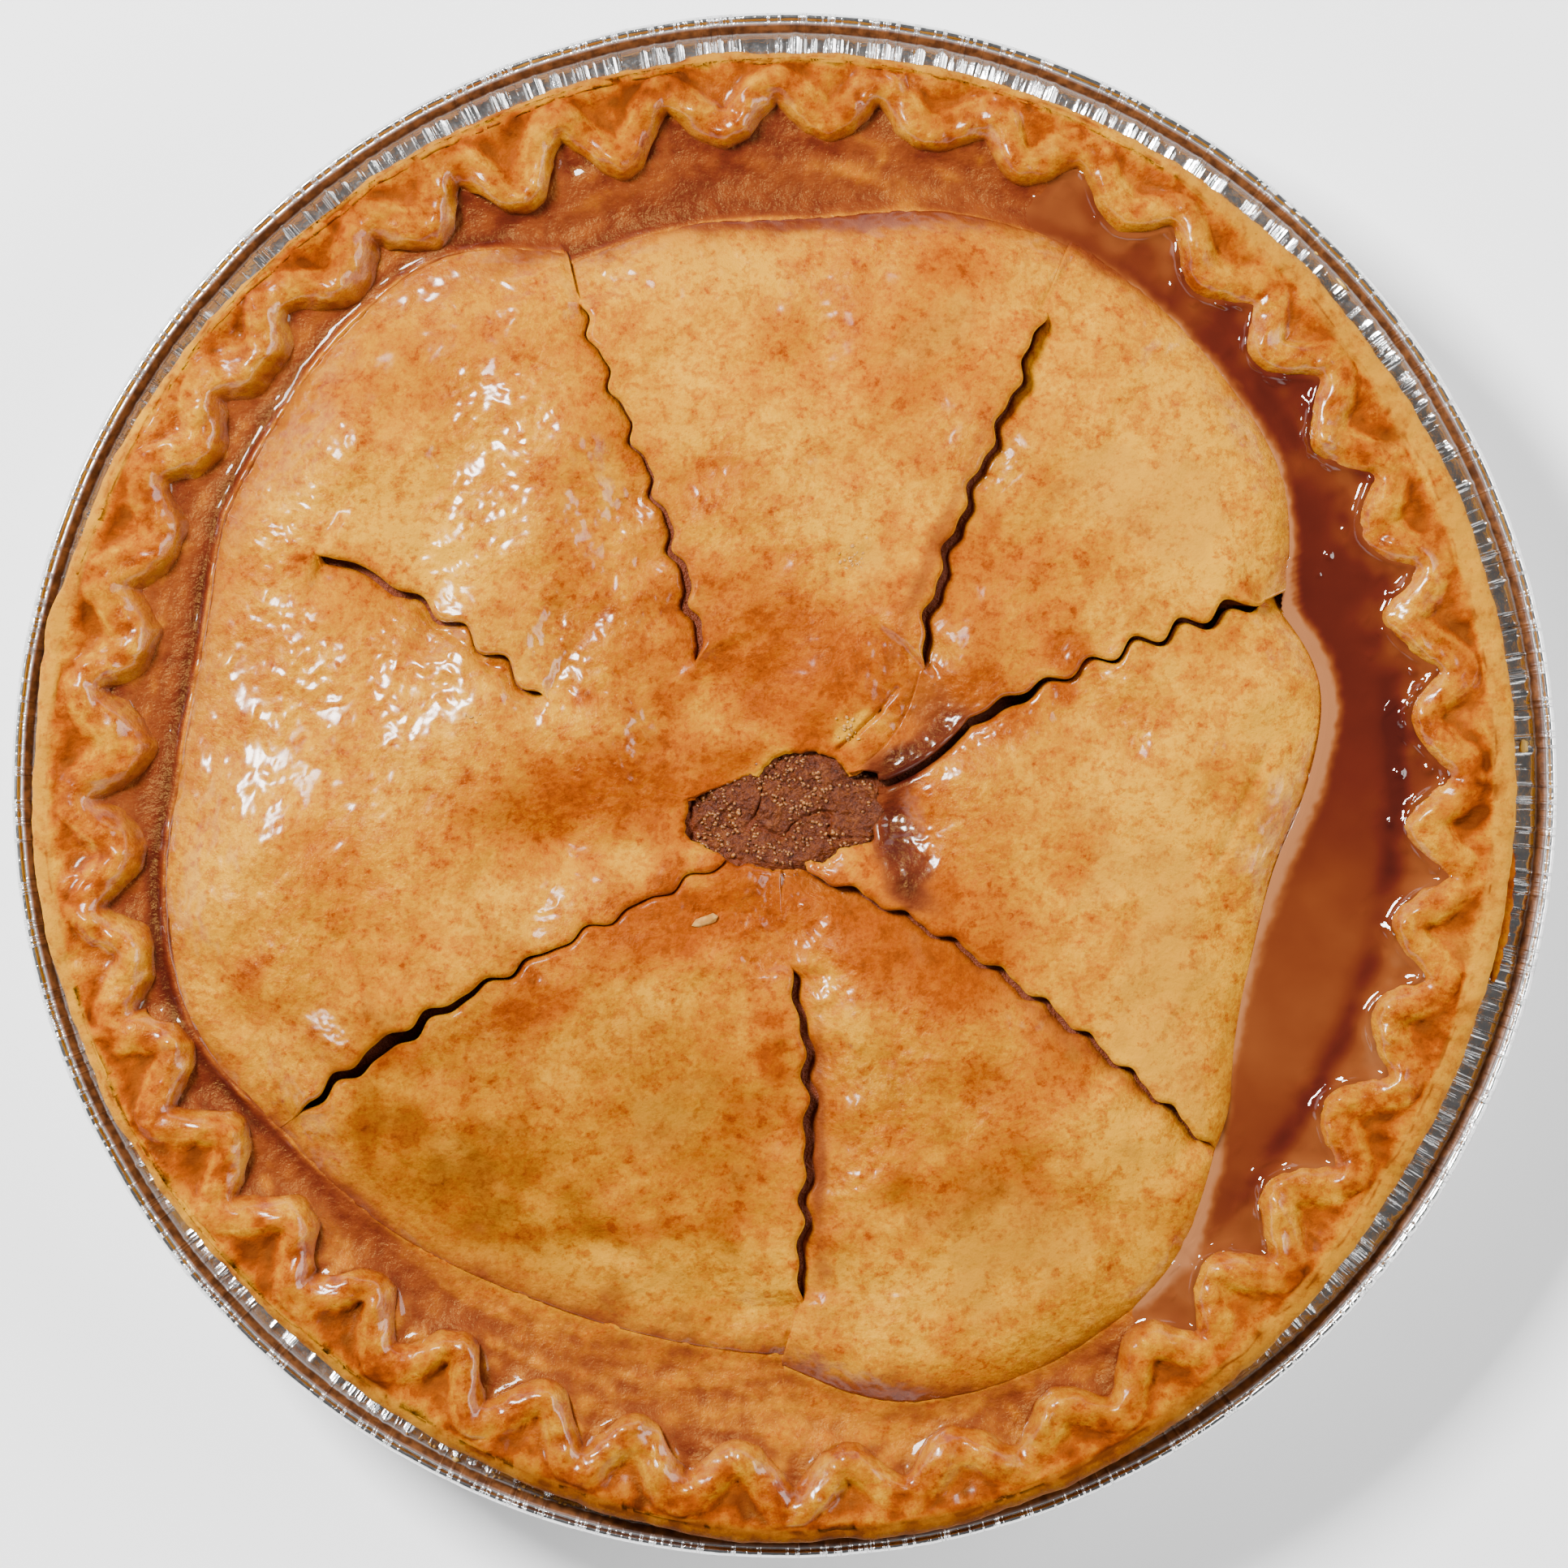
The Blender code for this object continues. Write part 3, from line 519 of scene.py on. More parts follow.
# Browning of the lid, from 0 for pale dough to 1 for dark brown; a few pale patches on the lower half are
# painted sheen: x, y, width, height, turn in degrees, change
BROWNING_AND_SHEEN = [
    (-55, 68, 20, 10, 20, 0.06), (-60, 45, 13, 11, 0, -0.1), (-53, 36, 7, 5, 30, -0.12),
    (-35, 28, 8, 5, -20, 0.14), (-33, 36, 6, 6, 0, 0.08), (-32.5, 13.8, 2.2, 1.3, 20, 0.45),
    (-78, 36.5, 1.6, 0.8, 0, 0.3), (-24, 22, 5, 10, 20, 0.06), (-12, 84, 18, 5, 5, -0.13),
    (-10, 75, 12, 4, 0, 0.06), (-15, 67, 7, 4, 0, -0.1), (-10, 50, 8, 6, 0, 0.08), (2, 24, 16, 11, 0, 0.22),
    (13, 18, 8, 7, 0, 0.2), (37, 30, 9, 8, 0, 0.14), (44, 2, 8, 8, 0, -0.08), (12.5, 34, 3.5, 5, 20, -0.16),
    (32, 82, 9, 3, -15, 0.1), (3, 60, 8, 6, 0, -0.07), (26, 55, 7, 8, 0, 0.06), (45, 66, 8, 6, 0, -0.06),
    (60, 45, 18, 9, -20, -0.1), (74, 52, 9, 18, 35, -0.1), (70, 34, 12, 4, 10, -0.13),
    (73, 31.3, 4, 1.3, 15, 0.2), (81, 35, 2.5, 2.5, 0, 0.22), (33, 41, 1.4, 3, -30, 0.2),
    (45, 21, 4.5, 2.6, -20, 0.42), (29, 25, 6, 8, 20, 0.08), (25, 13, 8, 4, 30, 0.28),
    (45, 15, 2.6, 2.8, 0, 0.42), (38, 12, 5, 3, 40, 0.12), (72, 24.5, 2, 1.6, 0, 0.16),
    (56, 18.5, 4, 1.5, 20, 0.1), (18, -6, 3.5, 10, 0, 0.45), (23, -17, 7, 4, -30, 0.22),
    # Painted sheen: the pale patches at (63, -16), (55, -38), (57, -58), (12.5, -46) and (-42, -18)
    (44, -8, 10, 8, 0, 0.06), (63, -16, 11, 26, 12, -0.18), (55, -38, 6, 9, 10, -0.2),
    (82, 6, 6, 12, 0, -0.12), (35, -20, 8, 5, -20, 0.08), (7, -20, 15, 5, -14, 0.24),
    (14, -22.5, 4.5, 2.4, -10, 0.2), (26, -30, 14, 6, -25, 0.12), (43, -44, 6, 8, 30, 0.12),
    (57, -58, 8, 9, 0, -0.2), (36, -60, 10, 8, 0, 0.05), (30, -78, 26, 6, 5, -0.16),
    (30, -91, 26, 4, 8, -0.06), (12.5, -46, 3, 9, 10, -0.18), (6, -34, 2.6, 4, 0, -0.12),
    (-15, -21.5, 12, 5.5, 20, 0.38), (-41, -36, 7, 3.6, 10, 0.28), (-35, -34.5, 2.4, 2.2, 0, 0.2),
    (-40.5, -31, 2, 1.4, 0, 0.3), (-2, -26, 8, 6, 0, 0.14), (-3, -37.5, 3, 1.8, -10, 0.34),
    (-2.5, -45, 2, 3.4, 30, 0.46), (-25, -38, 9, 6, 0, -0.1), (-55, -56, 12, 8, 20, 0.06),
    (-35, -76, 26, 2.2, 0, -0.16), (-18, -80.5, 20, 2.6, 4, -0.15), (-35, -72, 28, 1.6, 3, 0.1),
    (-86, -31, 2.4, 3.4, 20, 0.24), (-84, -37, 3, 3, 0, 0.14), (-83, -28, 1, 0.8, 0, 0.4),
    (-92, -14, 7, 10, 0, -0.08), (-80, -62, 10, 7, -45, 0.12), (-75, -12, 10, 6, 0, 0.05),
    (-46, -5, 9, 5, 0, 0.1), (-28, -2, 11, 5, 0, 0.16), (-42, -18, 9, 4, 18, -0.16),
    (-30, 4, 8, 5, 0, 0.08), (-30, -1, 14, 6, 0, 0.2), (36, -52, 10, 12, 0, 0.08), (20, 66, 8, 14, 0, 0.07),
    (-22, 16, 6, 12, 20, 0.1), (30, 14, 12, 6, 25, 0.14), (3, 18, 14, 8, 0, 0.14),
    (-16, -20, 3.5, 2.2, 25, 0.3), (9, -27, 6, 3, -30, 0.25), (-44, -37, 4, 2.2, 20, 0.25),
    (11, 9.8, 3.8, 0.9, 43, -0.6), (-8, -18, 16, 5, 12, 0.14), (22, -26, 14, 7, -32, 0.16),
    (-22, -12, 6, 4, 20, -0.1), (-66, -44, 8, 3, 30, 0.14),
]
# Juice on the lid, from 0 for none to 1 for a thick brown syrup: the same six numbers
JUICE_ON_LID = [
    (17.8, -8, 4.2, 10.5, 12, 0.9), (17, 2, 4, 4, 0, 0.5), (24, 7, 9, 2.6, 42, 0.7),
    (23, 12, 4, 5, 0, 0.35), (21, -18, 5, 3, -30, 0.35), (5, -16, 14, 3, -8, 0.1),
    (-50, -90, 40, 9, -12, 0.35), (-70, -72, 22, 5, -42, 0.5), (0, -99, 30, 5, 0, 0.3),
    (0, 92, 44, 3, 0, 0.35), (50, 87, 14, 3, -40, 0.35), (-45, 84, 20, 3, 20, 0.2),
    (25, 40, 1.5, 20, -22, 0.3), (5.5, -55, 1.6, 22, 0, 0.35), (48, -42, 20, 1.6, -38, 0.18),
    (-16, 35, 1.5, 16, 20, 0.15),
]

# Painted shade: an even darkening of the glaze where the lid lies in shade: the same six numbers
PAINTED_SHADE_ON_LID = [
    (-30, -52, 42, 20, -8, 0.5), (-48, -34, 16, 7, 28, 0.2), (28, -42, 22, 18, -35, 0.2),
    (40, -70, 30, 14, 15, 0.22), (-35, -2, 20, 10, 0, 0.2), (-24, 16, 8, 16, 20, 0.2),
    (4, 24, 18, 12, 0, 0.1), (30, 16, 16, 8, 25, 0.2), (-34, 30, 7, 9, 20, 0.15), (-64, 66, 26, 8, 42, 0.2),
    (-78, -38, 12, 22, 25, 0.25), (-42, -60, 34, 5, -30, 0.2), (-51, -69, 27, 9, -37, 0.6),
]

# Glaze, shiny where it ran thick and matt where the dough stayed dry: the same six numbers
WET_ON_LID = [
    (19, -8, 5, 10, 10, 0.5), (-76, 54, 10, 10, 40, 0.35), (-55, 12, 9, 9, 0, 0.2),
    (-45, 45, 14, 22, -25, 0.4), (-58, 8, 14, 20, 0, 0.4), (-40, 18, 12, 6, -10, 0.35),
    (-80, 30, 8, 20, -20, 0.25), (-88, -2, 8, 22, 0, 0.35), (28, -4, 12, 12, 0, 0.4),
    (-32, 8, 9, 5, 0, 0.3), (38, 14, 10, 4, 30, 0.3), (62, -30, 14, 30, 10, -0.45),
    (30, -75, 30, 16, 0, -0.35), (-40, -60, 34, 20, 0, -0.3), (62, 45, 18, 16, 0, -0.3),
    (10, 72, 26, 12, 0, -0.2), (12, 34, 4, 6, 0, -0.4),
]


def patches(x, y, table):
    """Sum of oval patches with flat middles and ragged edges."""
    total = 0
    ragged = 1 + 0.55 * cloud(x, y, 6, 63, 3)
    for px, py, width, height, turn, change in table:
        a = math.radians(turn)
        u = (x - px) * math.cos(a) + (y - py) * math.sin(a)
        v = (y - py) * math.cos(a) - (x - px) * math.sin(a)
        q = ((u / width) ** 2 + (v / height) ** 2) * ragged
        total = total + change * np.exp(-(np.clip(q, 0, 9) ** 1.5))
    return total


def crust_material(name, glaze_roughness, glaze):
    """Baked dough: four layers of numbers on the mesh say how browned and juicy it is, both with some
    painted light and shade mixed in, how wet it is, and how much painted shade darkens it.
    """
    crust = Paint(
        name, IOR=1.45, Specular_IOR_Level=0.25, Specular_Tint=(1, 0.62, 0.14, 1), Coat_IOR=1.5,
        Coat_Roughness=glaze_roughness,
    )
    tone, juice, wet, toast = (crust.layer(n) for n in ("browning", "juice", "wet", "toast"))
    speckle = crust.noise(0.8, detail=4.0, roughness=0.7)
    dapple = crust.noise(4.5, detail=7.0, roughness=0.7, seed=3.0)
    blotch = crust.noise(1.5, detail=4.0, roughness=0.65, seed=6.0).between(0.50, 0.60)
    spread = crust.noise(3.6, detail=6.0, roughness=0.70, seed=8.0).between(0.47, 0.60)
    mottle = (speckle - 0.5) * 0.68 + (dapple - 0.5) * 0.78 + (blotch + spread - 0.85) * 0.18
    baked = tone + mottle * (1.75 - tone * 1.7)
    glazed_colour = crust.ramp(
        baked,
        [
            (0.0, (0.52, 0.235, 0.006)), (0.25, (0.43, 0.168, 0.0)), (0.42, (0.37, 0.120, 0.0)),
            (0.58, (0.33, 0.082, 0.0)), (0.74, (0.24, 0.038, 0.0)), (1.0, (0.08, 0.009, 0.001)),
        ],
    )
    dry_colour = crust.ramp(
        baked, [(0.2, (0.42, 0.180, 0.008)), (0.5, (0.35, 0.128, 0.005)), (0.9, (0.19, 0.048, 0.003))]
    )
    colour = crust.blend((1 - wet.between(0.0, 0.2)) * 0.8, glazed_colour, dry_colour)
    dots = crust.noise(0.5, detail=1.0, seed=9.0).between(0.70, 0.78)
    colour = crust.blend(dots * 0.4, colour, (0.15, 0.025, 0.002))
    # Painted shade: the fourth layer multiplies the colour down towards a dull grey-brown
    colour = crust.blend(toast, colour, (0.44, 0.335, 0.30), "MULTIPLY")
    juice_colour = crust.ramp(
        juice + (dapple - 0.5) * 0.7 + (speckle - 0.5) * 0.2,
        [
            (0.15, (0.28, 0.072, 0.006)), (0.4, (0.165, 0.034, 0.006)), (0.7, (0.09, 0.013, 0.005)),
            (1.0, (0.045, 0.005, 0.003)),
        ],
    )
    crinkle = crust.noise(1.3, detail=3.0, roughness=0.6, seed=12.0)
    crust.set(
        Base_Color=crust.blend(juice.between(0.04, 0.5), colour, juice_colour),
        Roughness=0.80 - wet.between(0.25, 0.8) * 0.52 + (dapple - 0.5) * 0.15,
        Coat_Weight=wet.between(0.45, 1.0) * glaze,
        Normal=crust.bump(speckle, 0.16, normal=crust.bump(crinkle, 0.30)),
    )
    return crust.material


def crust_layers(browning, juice, wet, toast):
    """The four layers of baked dough, the last three kept between 0 and 1."""
    juice, wet, toast = (np.clip(values, 0, 1) for values in (juice, wet, toast))
    return {"browning": browning, "juice": juice, "wet": wet, "toast": toast}


glossy_crust = crust_material("golden_crust", 0.17, 0.8)
FLAP_ROWS, FLAP_COLUMNS = 250, 190
LIP = np.array([0, 0.25, 0.5, 0.75, 1.0]) * math.pi / 2
WALL_DROPS = np.array([1.4, LID_WALL])
# Past its foot a flap goes on as a short skirt, hidden by the moat: steps outwards and down
SKIRT_OUT, SKIRT_DROP = (0.25, 0.4, 0.5), (0.8, 1.8, 2.6)
HOLE_LIP = 1.1
CLOSED_OVERLAP = 0.45
SETTLING_ROUNDS = 6
LIFT = 1.7
CRINKLE = 0.21


def edge_steps():
    """Columns from a flap's lip to its wall: offset and drop in lip radii, and drop in millimetres."""
    none = np.zeros(len(WALL_DROPS))
    out, drop = np.concatenate([1 - np.sin(LIP), none]), np.concatenate([1 - np.cos(LIP), none + 1])
    return out, drop, np.concatenate([LIP * 0, WALL_DROPS])


# Browning along a flap's first and last slit, near the hole, and how far it reaches out from the hole
SCORCH = {
    "lower_left": (0.5, 0.05, 62), "lower_right": (0.05, 0.46, 62), "top": (0.25, 0.28, 52),
    "left": (0.1, 0.2, 45), "upper_right": (0.34, 0.22, 50), "right": (0.12, 0.25, 60),
    "upper_left": (0.28, 0.1, 45),
}


def make_flap(name):
    """A flap between two slits. A grid of share across and share along gives angle and radius; both sides
    bend over a rounded lip into a wall, and so does the end at the hole."""
    order = list(FLAPS)
    after = order[(order.index(name) + 1) % len(order)]
    first, last, feet = FLAPS[name]
    out, drop, deep = edge_steps()
    t = np.linspace(0, 1, FLAP_COLUMNS)
    across = np.concatenate([0 * out, t - 0.10 * np.sin(2 * math.pi * t), 0 * out + 1])[None]
    side_out, side_drop, side_deep = (
        np.concatenate([edge[::-1], np.full(FLAP_COLUMNS, middle), edge])[None]
        for edge, middle in ((out, 1.0), (drop, 0.0), (deep, 0.0))
    )
    along = np.concatenate([0 * out, np.linspace(0, 1, FLAP_ROWS), np.ones(len(SKIRT_OUT))])[:, None]
    end_out, end_drop, end_deep = (
        np.concatenate([edge[::-1], np.full(FLAP_ROWS + len(SKIRT_OUT), rest)])[:, None]
        for edge, rest in ((out, 1.0), (drop, 0.0), (deep, 0.0))
    )
    skirt_out, skirt_drop = (
        np.concatenate([np.zeros(len(out) + FLAP_ROWS), steps])[:, None] for steps in (SKIRT_OUT, SKIRT_DROP)
    )

    before_path, after_path = slit_path(name), slit_path(after)
    shift = 360 * round((last - FLAPS[after][0]) / 360)
    degrees = first + (last - first) * across + 0 * along
    for _ in range(SETTLING_ROUNDS):
        inner = hole_radius(degrees)
        outer = spline(feet, (degrees - first) / (last - first))
        radius = inner + (outer - inner) * along
        low = np.interp(radius, before_path[0], before_path[1])
        high = np.interp(radius, after_path[0], after_path[1]) + shift
        degrees = low + (high - low) * across
    low_half, low_open = (np.interp(radius, before_path[0], values) for values in before_path[2:])
    high_half, high_open = (np.interp(radius, after_path[0], values) for values in after_path[2:])
    low_half = low_half - CLOSED_OVERLAP * (1 - low_open)
    high_half = high_half - CLOSED_OVERLAP * (1 - high_open)
    lip_low, lip_high = 0.3 + 0.9 * low_open, 0.3 + 0.9 * high_open
    span = np.radians(high - low) * radius
    from_low = low_half + lip_low * side_out
    from_high = high_half + lip_high * side_out
    place = from_low + (span - from_low - from_high) * across
    degrees = low + np.degrees(place / np.maximum(radius, 1e-3))
    radius = radius + HOLE_LIP * (end_out - along) + skirt_out

    x, y = flat(radius, degrees)
    inward = outer - radius
    z = dome_height(x, y, inward, radius / outer)
    side_lip = np.where(across < 0.5, lip_low, lip_high)
    sunk = np.maximum(side_lip * side_drop + side_deep, HOLE_LIP * end_drop + end_deep)
    near_low, near_high = place - low_half, span - place - high_half
    rise_low, rise_high = SLITS[name].rises[1], SLITS[after].rises[0]
    lift = rise_low * low_open * bell(near_low, 5 + 4 * (rise_low > 0))
    lift = LIFT * (lift + rise_high * high_open * bell(near_high, 5 + 4 * (rise_high > 0)))
    wet_here = 0.50 + 0.30 * cloud(x, y, 16, 69, 2) + 0.10 * cloud(x, y, 3, 64, 2) + patches(x, y, WET_ON_LID)
    wet_here = np.clip(wet_here + 0.4 * fade(inward, 5), 0.05, 1)
    crinkled = 0.5 - np.abs(cloud(x * 0.8, y, 2.4, 54, 2)) + 0.55 * cloud(x, y, 1.2, 55, 2)
    z = pressed(z + lift + CRINKLE * smooth(0.35, 0.8, wet_here) * crinkled) - sunk - skirt_drop

    at_lip = low_open * np.exp(-near_low / 0.9) + high_open * np.exp(-near_high / 0.9)
    # The lower bank beside an open slit is browned and given juice colour: juice-soaked, and painted shade
    low_side = low_open * (rise_low < 0) * np.exp(-near_low / 3.2)
    low_side = low_side + high_open * (rise_high < 0) * np.exp(-near_high / 3.2)
    brown_and_painted_light = 0.42 + 0.07 * cloud(x, y, 26, 61, 2) + 0.13 * cloud(x, y, 7, 62, 3)
    brown_and_painted_light = brown_and_painted_light + BROWNING_AND_SHEEN_STRENGTH * patches(x, y, BROWNING_AND_SHEEN)
    brown_and_painted_light = brown_and_painted_light + 0.12 * at_lip * (0.5 + cloud(x, y, 4, 66)) + 0.16 * low_side
    brown_and_painted_light = brown_and_painted_light - 0.35 * smooth(0.3, 1.2, sunk)
    scorch_low, scorch_high, scorch_reach = SCORCH[name]
    scorch = scorch_low * fade(near_low, 8) + scorch_high * fade(near_high, 8)
    scorch = scorch * (1 - smooth(0.45, 1.0, radius / scorch_reach)) + 0.30 * fade(radius - inner, 10)
    brown_and_painted_light = brown_and_painted_light + np.clip(scorch * (0.8 + 0.8 * cloud(x, y, 5, 67, 2)), 0, 1)
    brown_and_painted_light = np.where(brown_and_painted_light > 0.45, 0.45 + 0.33 * np.tanh((brown_and_painted_light - 0.45) / 0.33), brown_and_painted_light)
    juice_and_painted_shade_here = 0.04 + 0.05 * cloud(x, y, 14, 68, 2) + patches(x, y, JUICE_ON_LID) + 0.15 * low_side
    soaked = fade(inward, 0.45 * around(SHOULDER, degrees, 8))
    # Juice soaked in at the foot, and dark juice colour on the slit walls: juice, and painted shade in the
    # slits
    juice_and_painted_shade_here = juice_and_painted_shade_here + 0.30 * soaked + 0.50 * smooth(1.0, 2.4, sunk)
    # Painted shade on the lid, with a little random darkening everywhere
    toast = patches(x, y, PAINTED_SHADE_ON_LID) + 0.10 + 0.14 * cloud(x, y, 12, 65, 3)
    grid = np.stack([x, y, z], -1)
    below = grid.reshape(-1, 3).mean(0) * (1, 1, 0) + (0, 0, MOAT_FLOOR)
    layers = crust_layers(brown_and_painted_light, juice_and_painted_shade_here, wet_here, toast)
    make_piece("lid_" + name, grid, glossy_crust, poles=[below], layers=layers)


for flap in FLAPS:
    make_flap(flap)


# Crimped rim of the crust
# Both sheets of dough are pressed together on the tin's flange and pinched from outside into a rounded
# zigzag ridge. Inside it lies the moat, where the lid sagged and the juice ran; outside, a plain band.
CRIMPS, CRIMP_PHASE = 40, 5.6
ROPE, CREST, BAND_HEIGHT = 3.25, 42.0, 40.5
POCKET_DEPTH = 1.1
LEG_STEPS = 8
RIM_UNDERSIDE, MOAT_BOTTOM = 35.7, 34.3
CRUST_EDGE = [
    (0, 117.8), (60, 118.6), (105, 117.7), (130, 118.6), (150, 120), (190, 121.7), (208, 119.9),
    (225, 118.8), (255, 120), (264, 122.2), (288, 122.4), (305, 119.9), (330, 117.7),
]
# Where the plain band begins, and the middle of the rope at the zigzag's inner tips: angle, radius
BAND_START = [
    (0, 113.8), (32, 113.9), (46, 114.8), (60, 116.2), (115, 116.6), (130, 117.4), (170, 118.2),
    (205, 118.4), (232, 116.7), (250, 117.2), (262, 119.3), (285, 119.8), (300, 117.9), (315, 115.4),
    (330, 114),
]
CRIMP_INNER = [
    (0, 103.6), (32, 103.8), (46, 104.9), (60, 106.8), (86, 107.4), (96, 105.7), (106, 103.4), (115, 103.4),
    (124, 107.2), (133, 108.8), (150, 109.6), (160, 108.8), (178, 106.8), (190, 108), (204, 107.2),
    (214, 105.8), (232, 104.5), (249, 106.2), (258, 106.8), (268, 109.2), (293, 109.5), (303, 106.8),
    (312, 104.5), (322, 103.6),
]
# How far the rope stands out of the slope between moat and band, by angle
RELIEF = [
    (0, 0.85), (55, 1), (115, 1), (128, 0.7), (145, 0.35), (180, 0.4), (198, 0.75), (225, 1), (300, 1),
    (330, 0.9),
]

rope_random = np.random.default_rng(17).uniform(-1, 1, (4, 2 * CRIMPS))
tip = np.arange(2 * CRIMPS)
tip_degrees = CRIMP_PHASE + tip * 180 / CRIMPS + 0.55 * rope_random[0]
outer_tips, inner_tips = around(BAND_START, tip_degrees) - ROPE - 0.2, around(CRIMP_INNER, tip_degrees)
tip_radius = np.where(tip % 2, outer_tips, inner_tips) + 0.5 * rope_random[1]
path_at = np.arange(2 * CRIMPS * LEG_STEPS) / LEG_STEPS
path_tip, path_share = path_at.astype(int), path_at % 1
leg_degrees = np.mod(np.roll(tip_degrees, -1) - tip_degrees, 360)
path_degrees = tip_degrees[path_tip] + path_share * leg_degrees[path_tip]
path_share = path_share - 0.10 * np.sin(2 * math.pi * path_share)
path_radius = tip_radius[path_tip] * (1 - path_share) + np.roll(tip_radius, -1)[path_tip] * path_share
path_x, path_y = flat(path_radius, path_degrees)


def by_tip(values, degrees):
    """A number of each tip of the zigzag, blended from tip to tip."""
    return np.interp(np.mod(degrees, 360), tip_degrees, values, period=360)


def to_rope(x, y):
    """Distance to the rope's middle line: the least of the distances to the nearby steps of the path."""
    turn = np.mod(bearing(x, y) - CRIMP_PHASE, 360)
    here = np.floor(turn * 2 * CRIMPS * LEG_STEPS / 360).astype(int)
    count, nearest = len(path_x), 1e3
    for step in range(-LEG_STEPS, LEG_STEPS + 1):
        a, b = (here + step) % count, (here + step + 1) % count
        nearest = np.minimum(nearest, to_line(x, y, path_x[a], path_y[a], path_x[b], path_y[b]))
    return nearest


def rope_middle(degrees):
    """Radius of the rope's middle line."""
    return np.interp(np.mod(degrees, 360), path_degrees, path_radius, period=360)


# Share of the juice's raised dark line along the lid's foot, by angle
FOOT_LINE = [(0, 0), (75, 0), (90, 0.3), (120, 0.5), (135, 1), (212, 1), (222, 0), (300, 0)]


def moat_height(x, y, radius, degrees, away):
    """Moat floor: level, drawn up against the lid's foot and the rope, and wrinkled along its length."""
    outward = radius - dome_foot(degrees)
    fillet = around(FILLET, degrees, 8)
    z = MOAT_FLOOR + fillet * fade(outward, 0.9 + fillet)
    z = z + 0.7 * fade(away - ROPE, 1.6) + 0.5 * smooth(5, 12, outward)
    raised = 0.55 * around(FOOT_LINE, degrees) * bell(outward, 0.8)
    z = z + raised * (1 + 0.5 * cloud(x, y, 3, 92, 2))
    wrinkles = 0.24 * cloud(degrees * 0.55, radius * 0.9, 3.0, 75, 2)
    wrinkles = wrinkles + 0.16 * cloud(x, y, 4.0, 73, 2) + 0.05 * cloud(x, y, 1.4, 74, 2)
    return z + wrinkles * smooth(-0.5, 2.5, outward)


def rim_height(x, y, radius, degrees):
    """Rope, pressed pockets and outer band, from inside out. The rope's profile over the distance d to its
    middle line is (1 - (d/w)^2)^0.6."""
    away = to_rope(x, y)
    line = rope_middle(degrees)
    band = around(BAND_START, degrees)
    relief = around(RELIEF, degrees)
    inside = radius < line
    crest = CREST - 0.3 + 0.35 * by_tip(rope_random[2], degrees) - 0.3 * by_tip(tip % 2, degrees)
    crest = crest + 0.70 * cloud(x, y, 5.5, 79, 2)
    floor = BAND_HEIGHT - POCKET_DEPTH * (0.6 + 0.4 * relief) * (1 - smooth(band - 4.5, band + 0.3, radius))
    floor = floor + 0.35 * cloud(x, y, 3.5, 85, 2) * (1 - smooth(band, band + 1, radius))
    floor = floor - 0.5 * smooth(band + 0.5, band + 5, radius)
    ground = moat_height(x, y, radius, degrees, away) - 0.9
    base = np.where(inside, ground, floor)
    uneven = 1 + 0.10 * by_tip(rope_random[3], degrees) + 0.18 * cloud(x, y, 5, 80, 2)
    width = ROPE * np.where(inside, 2 - relief, 1) * uneven
    power = 0.6 + np.where(inside, 0.6 * (1 - relief), 0)
    z = base + np.maximum(crest - base, 0) * np.clip(1 - (away / width) ** 2, 0, 1) ** power
    ragged = radius - band + 0.5 * cloud(x, y, 6, 72, 2)
    z = z - 0.4 * np.clip(cloud(x, y, 9, 70, 2) + 0.6, 0, 1) * bell(ragged, 0.35)
    return z + 0.30 * cloud(x, y, 2.6, 73, 2) + 0.12 * cloud(x, y, 1.1, 74, 2)


def blurred(values, reach):
    """Each value's average with its neighbours, up to reach rows away and reach columns round the ring."""
    total = np.cumsum(np.pad(values, [(reach + 1, reach), (0, 0)], mode="edge"), 0)
    rows = np.arange(len(values))
    values = (total[rows + 2 * reach + 1] - total[rows]) / (2 * reach + 1)
    return sum(np.roll(values, step, 1) for step in range(-reach, reach + 1)) / (2 * reach + 1)


def between_marks(marks, shares):
    """Rows spread evenly between the marks: shares gives each mark's row."""
    row = np.arange(shares[-1] + 1)
    part = np.clip(np.searchsorted(shares, row, "right") - 1, 0, len(shares) - 2)
    t = ((row - np.array(shares)[part]) / np.diff(shares)[part])[:, None]
    marks = np.stack(marks)
    return marks[part] * (1 - t) + marks[part + 1] * t


RIM_COLUMNS = 1600
# Flaky lumps on the crust's edge: angle, half width in degrees, how far they stand out
EDGE_LUMPS = [
    (95, 2.4, 0.7), (105.5, 3.6, 0.6), (167, 2, 0.7), (206, 2.5, 0.5), (254, 4, 0.4), (310, 2, 0.4),
]
# Painted shade: how far the rim and its band are darkened evenly, by angle
PAINTED_SHADE_ON_RIM = [
    (0, 0.2), (60, 0.3), (90, 0.35), (120, 0.4), (180, 0.2), (215, 0.2), (250, 0.4), (290, 0.4),
    (330, 0.25),
]
# How much paler the plain band's drier dough is, by angle; the negative values at the bottom are painted
# shade
BAND_PALENESS_AND_SHADE = [
    (0, 0.24), (60, 0.24), (100, 0.22), (130, 0.22), (215, 0.18), (240, 0.1), (262, -0.12), (292, -0.12),
    (310, 0.1), (330, 0.24),
]
